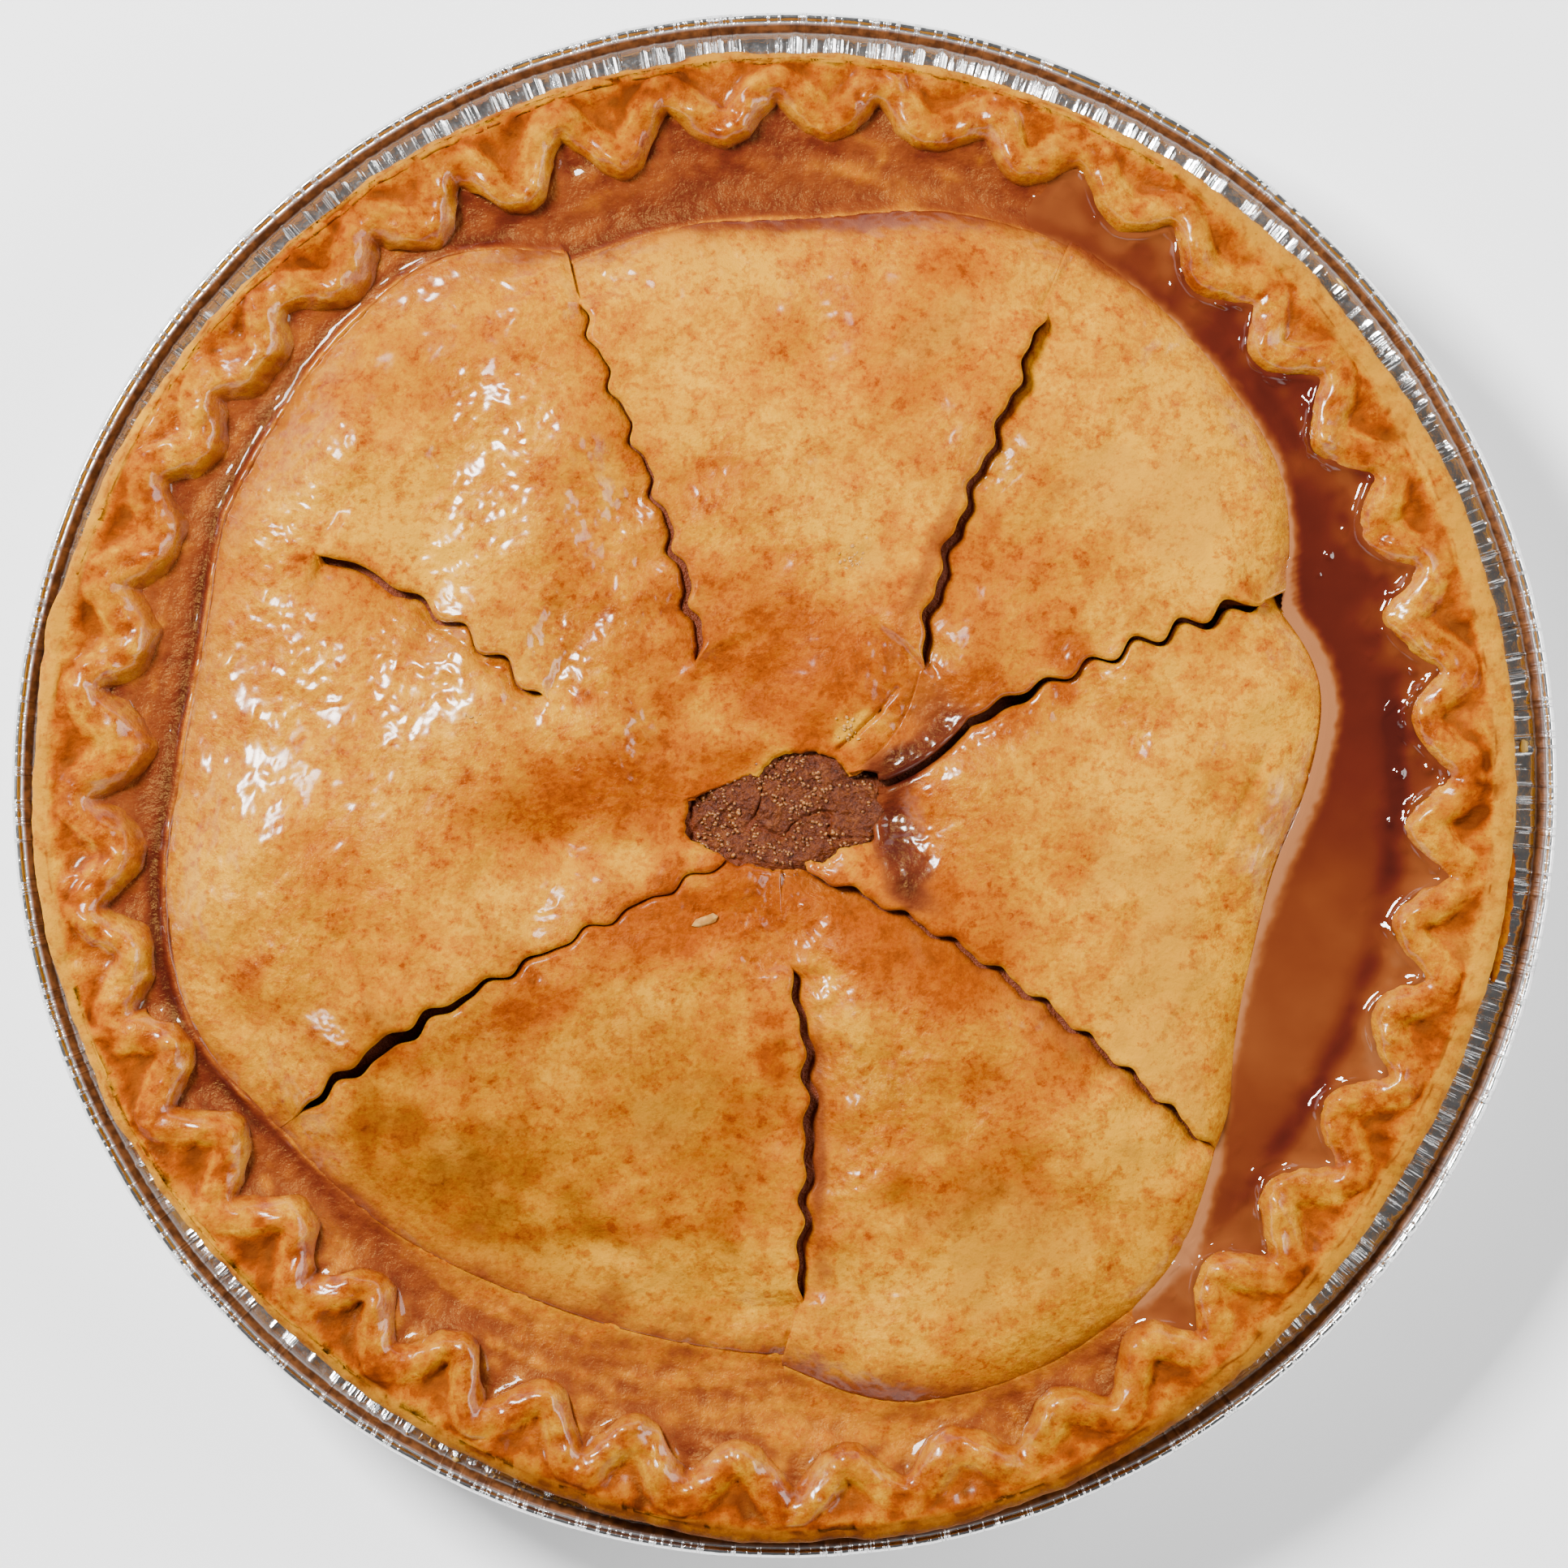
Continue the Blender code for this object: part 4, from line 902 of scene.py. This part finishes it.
# Painted shade on the plain band, by angle, deepest at the bottom where the band slopes away from the lamp
PAINTED_SHADE_ON_BAND = [
    (0, -0.1), (45, 0), (90, 0.15), (135, 0), (170, 0), (195, 0), (225, 0.1), (262, 0.85), (292, 0.85),
    (310, 0.3), (335, 0),
]
EDGE_RADIUS = 2.0
degrees = CRIMP_PHASE + np.arange(RIM_COLUMNS) * 360 / RIM_COLUMNS
edge = around(CRUST_EDGE, degrees)
edge_x, edge_y = flat(edge, degrees)
edge = edge + 0.35 * cloud(edge_x, edge_y, 9, 76, 2) + 0.14 * cloud(edge_x, edge_y, 2, 77, 2)
for lump_at, lump_width, lump_height in EDGE_LUMPS:
    edge = edge + lump_height * np.exp(-(((degrees - lump_at) / lump_width) ** 4))
line, band = rope_middle(degrees), around(BAND_START, degrees)
inner_side = ROPE * (2 - around(RELIEF, degrees)) * 1.35 + 0.5
outer_side = np.minimum(line + 3.4, band - 0.2)
radius = between_marks(
    [line - inner_side, line - 0.3 * inner_side, line, outer_side, band + 0.6, edge - EDGE_RADIUS],
    [0, 14, 20, 32, 37, 42],
)
degrees = degrees[None]
z = rim_height(*flat(radius, degrees), radius, degrees)
# The cut edge turns down in a half round whose two layers of dough show as faint ridges
phi = np.linspace(0, math.pi, 13)[1:, None]
layered = 0.22 * np.sin(phi * 5 + cloud(degrees * 0.4, 3, 3, 78, 2) * 1.5) * np.sin(phi)
side_radius = edge - EDGE_RADIUS * (1 - np.sin(phi) ** 0.8) - layered * 0.6 - 0.5 * (phi / math.pi) ** 3
side_z = z[-1:] - (z[-1:] - RIM_UNDERSIDE) / 2 * (1 - np.cos(phi))
low_row = np.ones((1, RIM_COLUMNS))
radius = np.concatenate([radius, side_radius, edge[None] - 8, radius[:1]])
z = np.concatenate([z, side_z, RIM_UNDERSIDE * low_row, MOAT_BOTTOM * low_row])
x, y = flat(radius, degrees)
away = to_rope(x, y)
on_band = smooth(band - 0.6, band + 0.8, radius)
inside = 1 - smooth(line - 1.5, line + 1.5, radius)
in_pocket = (1 - inside) * (1 - on_band) * smooth(ROPE - 0.6, ROPE + 0.8, away)
hollow = np.clip(blurred(z, 3) - z, -0.4, 0.5)
brown_and_painted_light = 0.56 + 0.14 * cloud(x, y, 7, 81, 2) + 0.16 * cloud(x, y, 2.5, 82, 3) + 0.05 * in_pocket
# Painted shade: the rim is browner where it lies below the average of its neighbours, paler where it stands
# above
brown_and_painted_light = brown_and_painted_light + 0.10 * smooth(band - 5, band - 1, radius) * (1 - on_band) + hollow * 0.5 * (1 - 0.6 * on_band)
brown_and_painted_light = brown_and_painted_light + on_band * (0.16 * cloud(x, y, 1.8, 90, 2) - around(BAND_PALENESS_AND_SHADE, degrees, 8))
crack = bell(radius - band - 0.9 + 0.5 * cloud(x, y, 5, 72, 2), 0.22)
brown_and_painted_light = brown_and_painted_light + 0.45 * crack * smooth(0.45, 0.6, cloud(x, y, 3, 71, 2) + 0.5)
juice_and_painted_shade_here = 0.30 * inside * smooth(0.3, 1.1, away / ROPE) + 0.06 * cloud(x, y, 6, 83, 2)
# Painted shade again: more dark juice colour in the rim's hollows
juice_and_painted_shade_here = juice_and_painted_shade_here + 0.35 * np.clip(hollow, 0, 1) * (1 - on_band)
# Painted shade on the rim, and more on its band
toast = around(PAINTED_SHADE_ON_RIM, degrees, 8) + around(PAINTED_SHADE_ON_BAND, degrees, 8) * on_band
toast = toast + 0.15 * cloud(x, y, 6, 89, 2)
wet_here = 0.42 + 0.45 * inside + 0.30 * cloud(x, y, 9, 84, 2) - 0.55 * on_band
make_piece(
    "crimped_rim", np.stack([x, y, z], -1), glossy_crust, ["top_crust"], ring=True, loop=True,
    layers=crust_layers(brown_and_painted_light, juice_and_painted_shade_here, wet_here, toast),
)


def with_underside(rows):
    """Numbers of the moat's rows, with those of its last and first row again for the two rows below it."""
    return np.concatenate([rows, rows[[-1, 0]]])


MOAT_COLUMNS, MOAT_ROWS = 1200, 64
# How brown the moat is, by angle
MOAT_JUICE = [
    (0, 0.6), (60, 0.55), (75, 0.5), (95, 0.62), (125, 0.45), (150, 0.5), (185, 0.55), (215, 0.55),
    (232, 0.35), (285, 0.32), (300, 0.5),
]
degrees = (np.arange(MOAT_COLUMNS) * 360 / MOAT_COLUMNS)[None]
foot, line = dome_foot(degrees), rope_middle(degrees)
radius = foot - 3 + (line - 0.5 - foot + 3) * np.linspace(0, 1, MOAT_ROWS)[:, None]
x, y = flat(radius, degrees)
away = to_rope(x, y)
z = moat_height(x, y, radius, degrees, np.maximum(away, ROPE))
hollow = np.clip(blurred(z, 3) - z, -0.3, 0.4)
# Juice and painted shade: the moat is coloured darker where its floor lies below its neighbours, paler above
juice_and_painted_shade_here = around(MOAT_JUICE, degrees, 8) + hollow + 0.16 * cloud(degrees * 0.4, radius, 5, 86, 2)
juice_and_painted_shade_here = juice_and_painted_shade_here + 0.06 * cloud(x, y, 3, 87, 2) + 0.18 * fade(away - ROPE, 1.0)
juice_and_painted_shade_here = juice_and_painted_shade_here - 0.06 * fade(radius - foot, 1.6)
juice_and_painted_shade_here = juice_and_painted_shade_here + 0.35 * around(FOOT_LINE, degrees) * bell(radius - foot - 1.6, 1.3)
wet_here = 0.85 + 0.2 * cloud(x, y, 7, 88, 2)
z = np.concatenate([z, np.full((2, MOAT_COLUMNS), MOAT_BOTTOM)])
make_piece(
    "glazed_moat", np.stack([with_underside(x), with_underside(y), z], -1),
    crust_material("soaked_crust", 0.05, 0.45), ring=True, loop=True,
    layers=crust_layers(0.5, with_underside(juice_and_painted_shade_here), with_underside(wet_here), 0.0),
)


# Pastry case
# The lower sheet of dough lines the tin and ends under the rim, where its cut edge shows as a second layer.
CASE_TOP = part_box("bottom_crust")[1].z / MM
CASE_COLUMNS = 480
case_degrees = np.arange(CASE_COLUMNS) * 360 / CASE_COLUMNS
case_edge = np.minimum(around(CRUST_EDGE, case_degrees) - 1.2, 120.9)
case_edge = case_edge + 0.25 * cloud(case_degrees * 0.7, 1, 4, 91, 2)
# Profile from inside out and back below: radius, or a step out from the cut edge if it is under 1; height
case_profile = [
    (BASE_RADIUS - 8, 4), (BASE_RADIUS - 4.5, 5.8), (110.4, 31), (112.8, CASE_TOP), (115.5, CASE_TOP),
    (0, CASE_TOP), (0.45, CASE_TOP - 0.6), (0.5, CASE_TOP - 1.2), (0, FLANGE_HEIGHT + 0.35),
    (115.5, FLANGE_HEIGHT + 0.3), (112.8, FLANGE_HEIGHT - 3), (BASE_RADIUS - 1.5, 3.6),
    (BASE_RADIUS - 4.5, 0.95),
]
case_radius, case_z = np.array(case_profile).T[:, :, None]
case_radius = np.where(case_radius < 1, case_edge + case_radius, case_radius)
case_grid = polar(case_radius, case_degrees[None], case_z)
# The case edge's last layer is an even painted shade of 0.3
make_piece(
    "case_edge", case_grid, glossy_crust, ["bottom_crust"], ring=True,
    poles=[(0, 0, 4.0), (0, 0, 0.95)], layers=crust_layers(0.42, 0.0, 0.1, 0.3),
)


# Apple filling
# Chopped apple cooked soft with brown sugar and spice. It fills the case and shows, grainy and cracked, in
# the hole, and dark at the bottom of the slits.
filling = Paint("spiced_apple", IOR=1.42, Specular_IOR_Level=0.3)
mush = filling.noise(2.4, detail=5.0, roughness=0.7)
sugar = filling.noise(0.45, detail=2.0, roughness=0.7, seed=5.0)
hollow = filling.layer("hollow")
apple_colour = filling.ramp(
    mush * 0.6 + sugar * 0.5 - 0.05,
    [
        (0.30, (0.03, 0.004, 0.001)), (0.45, (0.072, 0.012, 0.001)), (0.56, (0.115, 0.024, 0.002)),
        (0.70, (0.20, 0.056, 0.008)),
    ],
)
filling.set(
    Base_Color=filling.blend(hollow, apple_colour, (0.13, 0.024, 0.005)),
    Roughness=0.30 + mush * 0.35,
    Normal=filling.bump(sugar, 0.35, normal=filling.bump(mush, 0.9)),
)
FILLING_TOP_IN_HOLE = 43.0
# Where the filling sank below the open slits: x, y, width, height, turn, depth
FILLING_HOLLOWS = [
    (71, 28, 4, 3, 20, 3), (36, 13, 6, 3, 30, 3), (-61, -41, 7, 4, 35, 3), (-70, 34, 4, 3, -30, 1),
]
FILLING_COLUMNS = 420
fill_degrees = np.arange(FILLING_COLUMNS) * 360 / FILLING_COLUMNS
fill_radius = np.concatenate([np.linspace(0.4, 19, 84), np.linspace(20, 80, 60)])[:, None]


def lid_height(x, y):
    """Height of the lid's surface away from the slits."""
    foot, radius = dome_foot(bearing(x, y)), np.hypot(x, y)
    return pressed(dome_height(x, y, foot - radius, radius / foot))


def filling_height(x, y):
    """Height of the filling: crumbly and cracked in the hole, elsewhere a little below the lid's surface."""
    below_lid = lid_height(x, y) - 2.2 - patches(x, y, FILLING_HOLLOWS)
    crumbly = 0.5 * cloud(x, y, 3.4, 101, 3) + 0.4 * np.abs(cloud(x, y, 0.9, 102, 2))
    cracks = bell(cloud(x, y, 8, 103, 2), 0.05)
    hidden = smooth(8.0, 11.0, np.hypot(x / 1.8, y + 4.0))
    return below_lid * hidden + (1 - hidden) * (FILLING_TOP_IN_HOLE + crumbly - 0.7 * cracks), hidden, cracks


fill_z, hidden, cracks = filling_height(*flat(fill_radius, fill_degrees))
fill_grid = polar(fill_radius, fill_degrees[None], fill_z)
fill_rim = polar(np.array([[101.0], [107.0], [88.0]]), fill_degrees[None], np.array([[33.4], [30.0], [4.3]]))
make_piece(
    "apple_mush", np.concatenate([fill_grid, fill_rim]), filling.material, ["apple_filling"],
    ring=True, poles=[(0, 0, FILLING_TOP_IN_HOLE), (0, 0, 4.3)],
    layers={"hollow": np.concatenate([np.clip(hidden + 0.8 * cracks, 0, 1), np.ones((3, FILLING_COLUMNS))])},
)


# Corners and faces of an icosahedron one unit across
GOLDEN = (1 + 5**0.5) / 2
LUMP_CORNERS = np.array([
    (-1, GOLDEN, 0), (1, GOLDEN, 0), (-1, -GOLDEN, 0), (1, -GOLDEN, 0), (0, -1, GOLDEN), (0, 1, GOLDEN),
    (0, -1, -GOLDEN), (0, 1, -GOLDEN), (GOLDEN, 0, -1), (GOLDEN, 0, 1), (-GOLDEN, 0, -1), (-GOLDEN, 0, 1),
]) / math.hypot(1, GOLDEN) / 2
LUMP_FACES = np.array([
    (0, 11, 5), (0, 5, 1), (0, 1, 7), (0, 7, 10), (0, 10, 11), (1, 5, 9), (5, 11, 4), (11, 10, 2), (10, 7, 6),
    (7, 1, 8), (3, 9, 4), (3, 4, 2), (3, 2, 6), (3, 6, 8), (3, 8, 9), (4, 9, 5), (2, 4, 11), (6, 2, 10),
    (8, 6, 7), (9, 8, 1),
])


def scatter(name, x, y, z, sizes, turns, material, slot, seed):
    """Small lumps as one mesh: each is an icosahedron with shaken corners, scaled to its sizes and turned."""
    shake = np.random.default_rng(seed).uniform(0.85, 1.15, (len(x), len(LUMP_CORNERS), 1))
    shaken = LUMP_CORNERS * shake * sizes[:, None]
    cosine, sine = flat(1, turns[:, None])
    wide, long, high = np.moveaxis(shaken, -1, 0)
    turned = np.stack([wide * cosine - long * sine, wide * sine + long * cosine, high], -1)
    points = (turned + np.stack([x, y, z], -1)[:, None]) * MM
    faces = LUMP_FACES + len(LUMP_CORNERS) * np.arange(len(x))[:, None, None]
    mesh = bpy.data.meshes.new(name)
    mesh.from_pydata(points.reshape(-1, 3).tolist(), [], faces.reshape(-1, 3).tolist())
    mesh.shade_smooth()
    mesh.materials.append(material)
    piece = bpy.data.objects.new(name, mesh)
    bpy.context.scene.collection.objects.link(piece)
    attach(piece, "root")


# Brown sugar grains that crown the filling in the hole
sugar_paint = Paint("brown_sugar", Roughness=0.35, Specular_IOR_Level=0.5)
grain_tone = sugar_paint.noise(0.9, detail=1.0)
grain_stops = [(0.35, (0.10, 0.025, 0.003)), (0.65, (0.28, 0.100, 0.020))]
sugar_paint.set(Base_Color=sugar_paint.ramp(grain_tone, grain_stops))
GRAINS = 620
random = np.random.default_rng(201)
sugar_x, sugar_y = random.uniform(-14, 14, GRAINS), random.uniform(-14, 5, GRAINS)
in_clusters = (cloud(sugar_x, sugar_y, 4, 202, 2) > -0.15) & (np.hypot(sugar_x, sugar_y + 4) < 15)
sugar_x, sugar_y = sugar_x[in_clusters], sugar_y[in_clusters]
count = len(sugar_x)
scatter(
    "sugar_grains", sugar_x, sugar_y, filling_height(sugar_x, sugar_y)[0] + 0.1,
    random.uniform(0.4, 0.85, (count, 3)), random.uniform(0, 360, count), sugar_paint.material, "apple", 203,
)


# Crumbs, strip and fat
# Loose bits of the same baked dough on the lid and on the tin's flange, a sliver of dough that peeled off
# the edge, and drops of set fat on the foil.
crumb_paint = Paint("pastry_crumb", Roughness=0.75, Specular_IOR_Level=0.2)
crumb_tone = crumb_paint.noise(1.2, detail=2.0)
crumb_stops = [(0.35, (0.32, 0.135, 0.020)), (0.65, (0.50, 0.27, 0.07))]
crumb_paint.set(Base_Color=crumb_paint.ramp(crumb_tone, crumb_stops))


# Patches of crumbs on the lid: x, y, spread, how many
CRUMB_PATCHES = [
    (12.5, 36, 2.6, 60), (13.5, 30.5, 2, 36), (19.5, 31, 1.2, 22), (10, 8.8, 1.6, 16), (-50, 11, 1, 5),
    (19.5, 24, 0.8, 5),
]
random = np.random.default_rng(211)
middles = np.repeat(np.array(CRUMB_PATCHES)[:, :3], [number for *_, number in CRUMB_PATCHES], axis=0)
crumb_x, crumb_y = (middles[:, :2] + random.normal(0, 0.6, (len(middles), 2)) * middles[:, 2:]).T
sizes = random.uniform(0.35, 0.9, (len(middles), 3))
scatter(
    "lid_crumbs", crumb_x, crumb_y, lid_height(crumb_x, crumb_y) + 0.08, sizes,
    random.uniform(0, 360, len(middles)), crumb_paint.material, "baked_lid", 212,
)
crumb_x, crumb_y = np.array([(-12.6, -21.7)]).T
scatter(
    "long_crumb", crumb_x, crumb_y, lid_height(crumb_x, crumb_y) + 0.5, np.array([(5.3, 1.7, 1.2)]),
    np.array([20.0]), crumb_paint.material, "baked_lid", 213,
)
TIN_CRUMBS = 44
LYING = FLANGE_HEIGHT + 0.35
tin_angle, tin_place = random.uniform(239, 263, TIN_CRUMBS), random.uniform(119.6, 122.6, TIN_CRUMBS)
scatter(
    "tin_crumbs", *flat(tin_place, tin_angle), np.full(TIN_CRUMBS, LYING),
    random.uniform(0.25, 0.8, (TIN_CRUMBS, 3)), random.uniform(0, 360, TIN_CRUMBS), crumb_paint.material,
    "baked_lid", 214,
)
# Drops of fat: angle, radius, length, width
FAT_DROPS = np.array([
    (3, 119.6, 2.7, 1.6), (33, 123.4, 1.6, 0.8), (42, 121.2, 3.0, 0.7), (45, 121.8, 1.2, 1.0),
    (206, 122.4, 1.8, 0.8), (244, 121.3, 1.4, 0.9),
])
FAT_THICKNESS = 0.5
fat_paint = Paint("set_fat", Base_Color=(0.50, 0.30, 0.06, 1), Roughness=0.3, Specular_IOR_Level=0.5)
fat_paint.set(Normal=fat_paint.bump(fat_paint.noise(0.6), 0.05))
fat_angle, fat_radius, fat_length, fat_width = FAT_DROPS.T
scatter(
    "fat_drops", *flat(fat_radius, fat_angle), 0 * fat_angle + LYING,
    np.column_stack([fat_length, fat_width, 0 * fat_angle + FAT_THICKNESS]), fat_angle + 90,
    fat_paint.material, "baked_lid", 215,
)
# Sliver of dough
strip_share = np.linspace(0, 1, 120)[None]
strip_degrees = 344.5 + 10.7 * strip_share
strip_turn = np.linspace(0, 2 * math.pi, 17)[:-1, None]
half_width = 0.25 + 0.85 * np.sin(math.pi * strip_share) ** 0.6
half_width = half_width * (1 + 0.25 * cloud(strip_degrees * 3, strip_turn, 2, 216, 2))
strip = polar(
    118.7 - 1.0 * strip_share - half_width * np.cos(strip_turn), strip_degrees,
    FLANGE_HEIGHT + 1.3 + 0.8 * strip_share + 0.8 * half_width * np.sin(strip_turn),
)
# The strip's last layer is an even painted shade of 0.15
make_piece(
    "dough_strip", strip, glossy_crust, loop=True,
    layers=crust_layers(0.5 + 0.25 * strip_share, 0.0, 0.3, 0.15),
)


# Pool of syrup
# Apple juice and sugar boiled out of the slits and set in the moat, deep and dark on the right, with a
# raised edge where it clings to the pastry.
syrup = Paint("boiled_syrup", IOR=1.47, Roughness=0.5, Specular_IOR_Level=0.0, Coat_Roughness=0.02)
depth = syrup.layer("depth")
drift = syrup.noise(14, detail=3.0, stretch=(1, 1, 0.1))
syrup_colour = syrup.ramp(
    depth + (drift - 0.5) * 0.25,
    [
        (0.0, (0.25, 0.095, 0.035)), (0.12, (0.20, 0.066, 0.020)), (0.25, (0.150, 0.038, 0.008)),
        (0.5, (0.096, 0.018, 0.005)), (0.75, (0.065, 0.0085, 0.004)), (1.0, (0.038, 0.005, 0.003)),
    ],
)
syrup.set(Base_Color=syrup_colour, Coat_Weight=1.0)
# Thickness seen through the syrup: angle, share of the darkest
SYRUP_DARKNESS = [
    (0, 0.78), (20, 0.9), (40, 0.95), (58, 0.7), (80, 0.4), (150, 0.3), (200, 0.3), (300, 0.5), (316, 0.55),
    (330, 0.4), (345, 0.45),
]
# Height to which the syrup clings to the lid's foot, by angle. It also widens the pale strip along the
# foot, a painted reflection
CLING = [
    (0, 1), (20, 1), (27, 0.15), (60, 0.1), (300, 0.1), (308, 0.8), (316, 0.8), (322, 0.25), (344, 0.4),
    (351, 1),
]
# Depth of the pool above the moat's floor, by angle
POOL_DEPTH = [
    (0, 1.5), (45, 1.4), (60, 0.7), (75, -0.4), (110, -0.6), (140, 0.1), (165, 0.5), (200, 0.3),
    (225, -0.5), (290, -0.6), (306, 0.5), (320, 1.3), (340, 1.4),
]
# Bubbles: x, y, radius
SYRUP_BUBBLES = [
    (87.6, 37, 0.7), (94.2, 20.8, 0.5), (99, 2, 0.9), (103.6, 2.5, 0.9), (100.7, -2.9, 0.6),
    (101.2, 18.4, 0.8), (86, 34, 0.5), (97.5, -6, 0.5),
]
POOL_START, POOL_STOP, POOL_END = 298, 432, 7
POOL_COLUMNS, POOL_ROWS = 520, 90
POOL_BOTTOM = MOAT_FLOOR - 1.2
degrees = np.linspace(POOL_START, POOL_STOP, POOL_COLUMNS)[None]
foot = sum(dome_foot(degrees + turn) for turn in np.linspace(-2.5, 2.5, 9)) / 9
share = np.linspace(0, 1, POOL_ROWS)[:, None]
share = share - 0.08 * np.sin(2 * math.pi * share)
radius = foot - 1.0 + (rope_middle(degrees) - 0.6 - foot + 1.0) * share
full = smooth(0, POOL_END, degrees - POOL_START) * smooth(0, POOL_END, POOL_STOP - degrees)
pool = around(POOL_DEPTH, degrees, 8) * full - 2.0 * (1 - full)
x, y = flat(radius, degrees)
to_dome, to_crimp = radius - foot, to_rope(x, y) - ROPE
clinging = around(CLING, degrees, 3) * full
reach = 2.5 * np.clip(clinging, 0, 1) + 0.25 * cloud(degrees * 1.4, 0, 4, 115, 2)
z = MOAT_FLOOR + 0.4 + pool + 0.55 * clinging * np.clip(1 - to_dome / 4.8, 0, 1) ** 1.3
z = z + 0.9 * full * fade(to_crimp, 0.9) + 0.03 * cloud(x, y, 8, 111, 2)
ripples = 0.30 * smooth(0.35, 0.6, cloud(x, y, 1.5, 113, 1)) + 0.10 * cloud(x, y, 2.2, 114, 2)
z = z + ripples * fade(to_crimp, 4)
for bx, by, size in SYRUP_BUBBLES:
    z = z + 0.7 * size * np.exp(-((np.hypot(x - bx, y - by) / size) ** 3))
# Near the lid's foot the syrup takes its palest colour: thin syrup, and a painted reflection on its edge
past_edge = to_dome + 0.3 * cloud(x, y, 1.2, 117, 2)
thick = around(SYRUP_DARKNESS, degrees) * smooth(reach - 1.8, reach + 0.7, past_edge)
dark_line = bell(radius - 98.6, 2.0) * smooth(314, 324, degrees) * (1 - smooth(366, 374, degrees))
thick = thick + 0.45 * dark_line - 0.10 * smooth(99.5, 101.5, radius)
paler = bell(np.maximum(to_crimp, 0), 4) * (0.6 + 0.8 * cloud(x, y, 4, 116, 2))
thick = thick - 0.45 * np.clip(paler, 0, 1) * thick - 0.12 * np.clip(cloud(x, y, 11, 112, 2), 0, 1)
grid = np.stack([x, y, z], -1)
low = grid[[-1, 0]] * (1, 1, 0) + (0, 0, POOL_BOTTOM)
thick = np.concatenate([np.clip(thick, 0, 1), np.zeros((2, POOL_COLUMNS))])
pool_grid = np.concatenate([grid, low])
make_piece("syrup_right", pool_grid, syrup.material, loop=True, layers={"depth": thick})


# Surface below, light and camera
# A pale table, a large soft lamp high on the left, a weaker one on the right, and a camera straight above.
floor_mesh = bpy.data.meshes.new("pale_table")
floor_mesh.from_pydata([(-2, -2, 0), (2, -2, 0), (2, 2, 0), (-2, 2, 0)], [], [(0, 1, 2, 3)])
table = bpy.data.objects.new("pale_table", floor_mesh)
table_paint = Paint("pale_table", Roughness=0.9)
table_paint.set(Base_Color=(0.92, 0.92, 0.92, 1))
floor_mesh.materials.append(table_paint.material)
bpy.context.scene.collection.objects.link(table)

world = bpy.data.worlds.new("studio")
bpy.context.scene.world = world
world.use_nodes = True
background = world.node_tree.nodes["Background"]
direction = world.node_tree.nodes.new("ShaderNodeTexCoord")
split = world.node_tree.nodes.new("ShaderNodeSeparateXYZ")
sky = world.node_tree.nodes.new("ShaderNodeValToRGB")
sky.color_ramp.elements[0].position, sky.color_ramp.elements[0].color = 0.27, (1, 1, 1, 1)
sky.color_ramp.elements[1].position, sky.color_ramp.elements[1].color = 0.45, (0.04, 0.04, 0.04, 1)
world.node_tree.links.new(direction.outputs["Generated"], split.inputs[0])
world.node_tree.links.new(split.outputs["Z"], sky.inputs[0])
world.node_tree.links.new(sky.outputs[0], background.inputs[0])
background.inputs[1].default_value = 2.6


def add_lamp(name, place, target, width, height, watts):
    """A soft rectangular lamp that looks at a point."""
    light = bpy.data.lights.new(name, "AREA")
    light.shape, light.size, light.size_y, light.energy = "RECTANGLE", width, height, watts
    lamp = bpy.data.objects.new(name, light)
    lamp.location = place
    lamp.rotation_euler = (Vector(target) - Vector(place)).to_track_quat("-Z", "Y").to_euler()
    bpy.context.scene.collection.objects.link(lamp)


add_lamp("key", (-0.58, 0.46, 0.95), (-0.02, 0.02, 0.04), 0.28, 0.28, 43)
add_lamp("fill", (0.90, 0.06, 0.76), (0, 0, 0.04), 1.0, 0.45, 16)

VIEW_WIDTH = 253.3
LENS, SENSOR = 200.0, 36.0
CAMERA_OFFSET = (-0.1, 0.2)
camera_data = bpy.data.cameras.new("camera")
camera_data.lens, camera_data.sensor_width = LENS, SENSOR
camera = bpy.data.objects.new("camera", camera_data)
camera.location = Vector((*CAMERA_OFFSET, BEAD_TOP + VIEW_WIDTH * LENS / SENSOR)) * MM
bpy.context.scene.collection.objects.link(camera)
bpy.context.scene.camera = camera

bpy.context.view_layer.update()
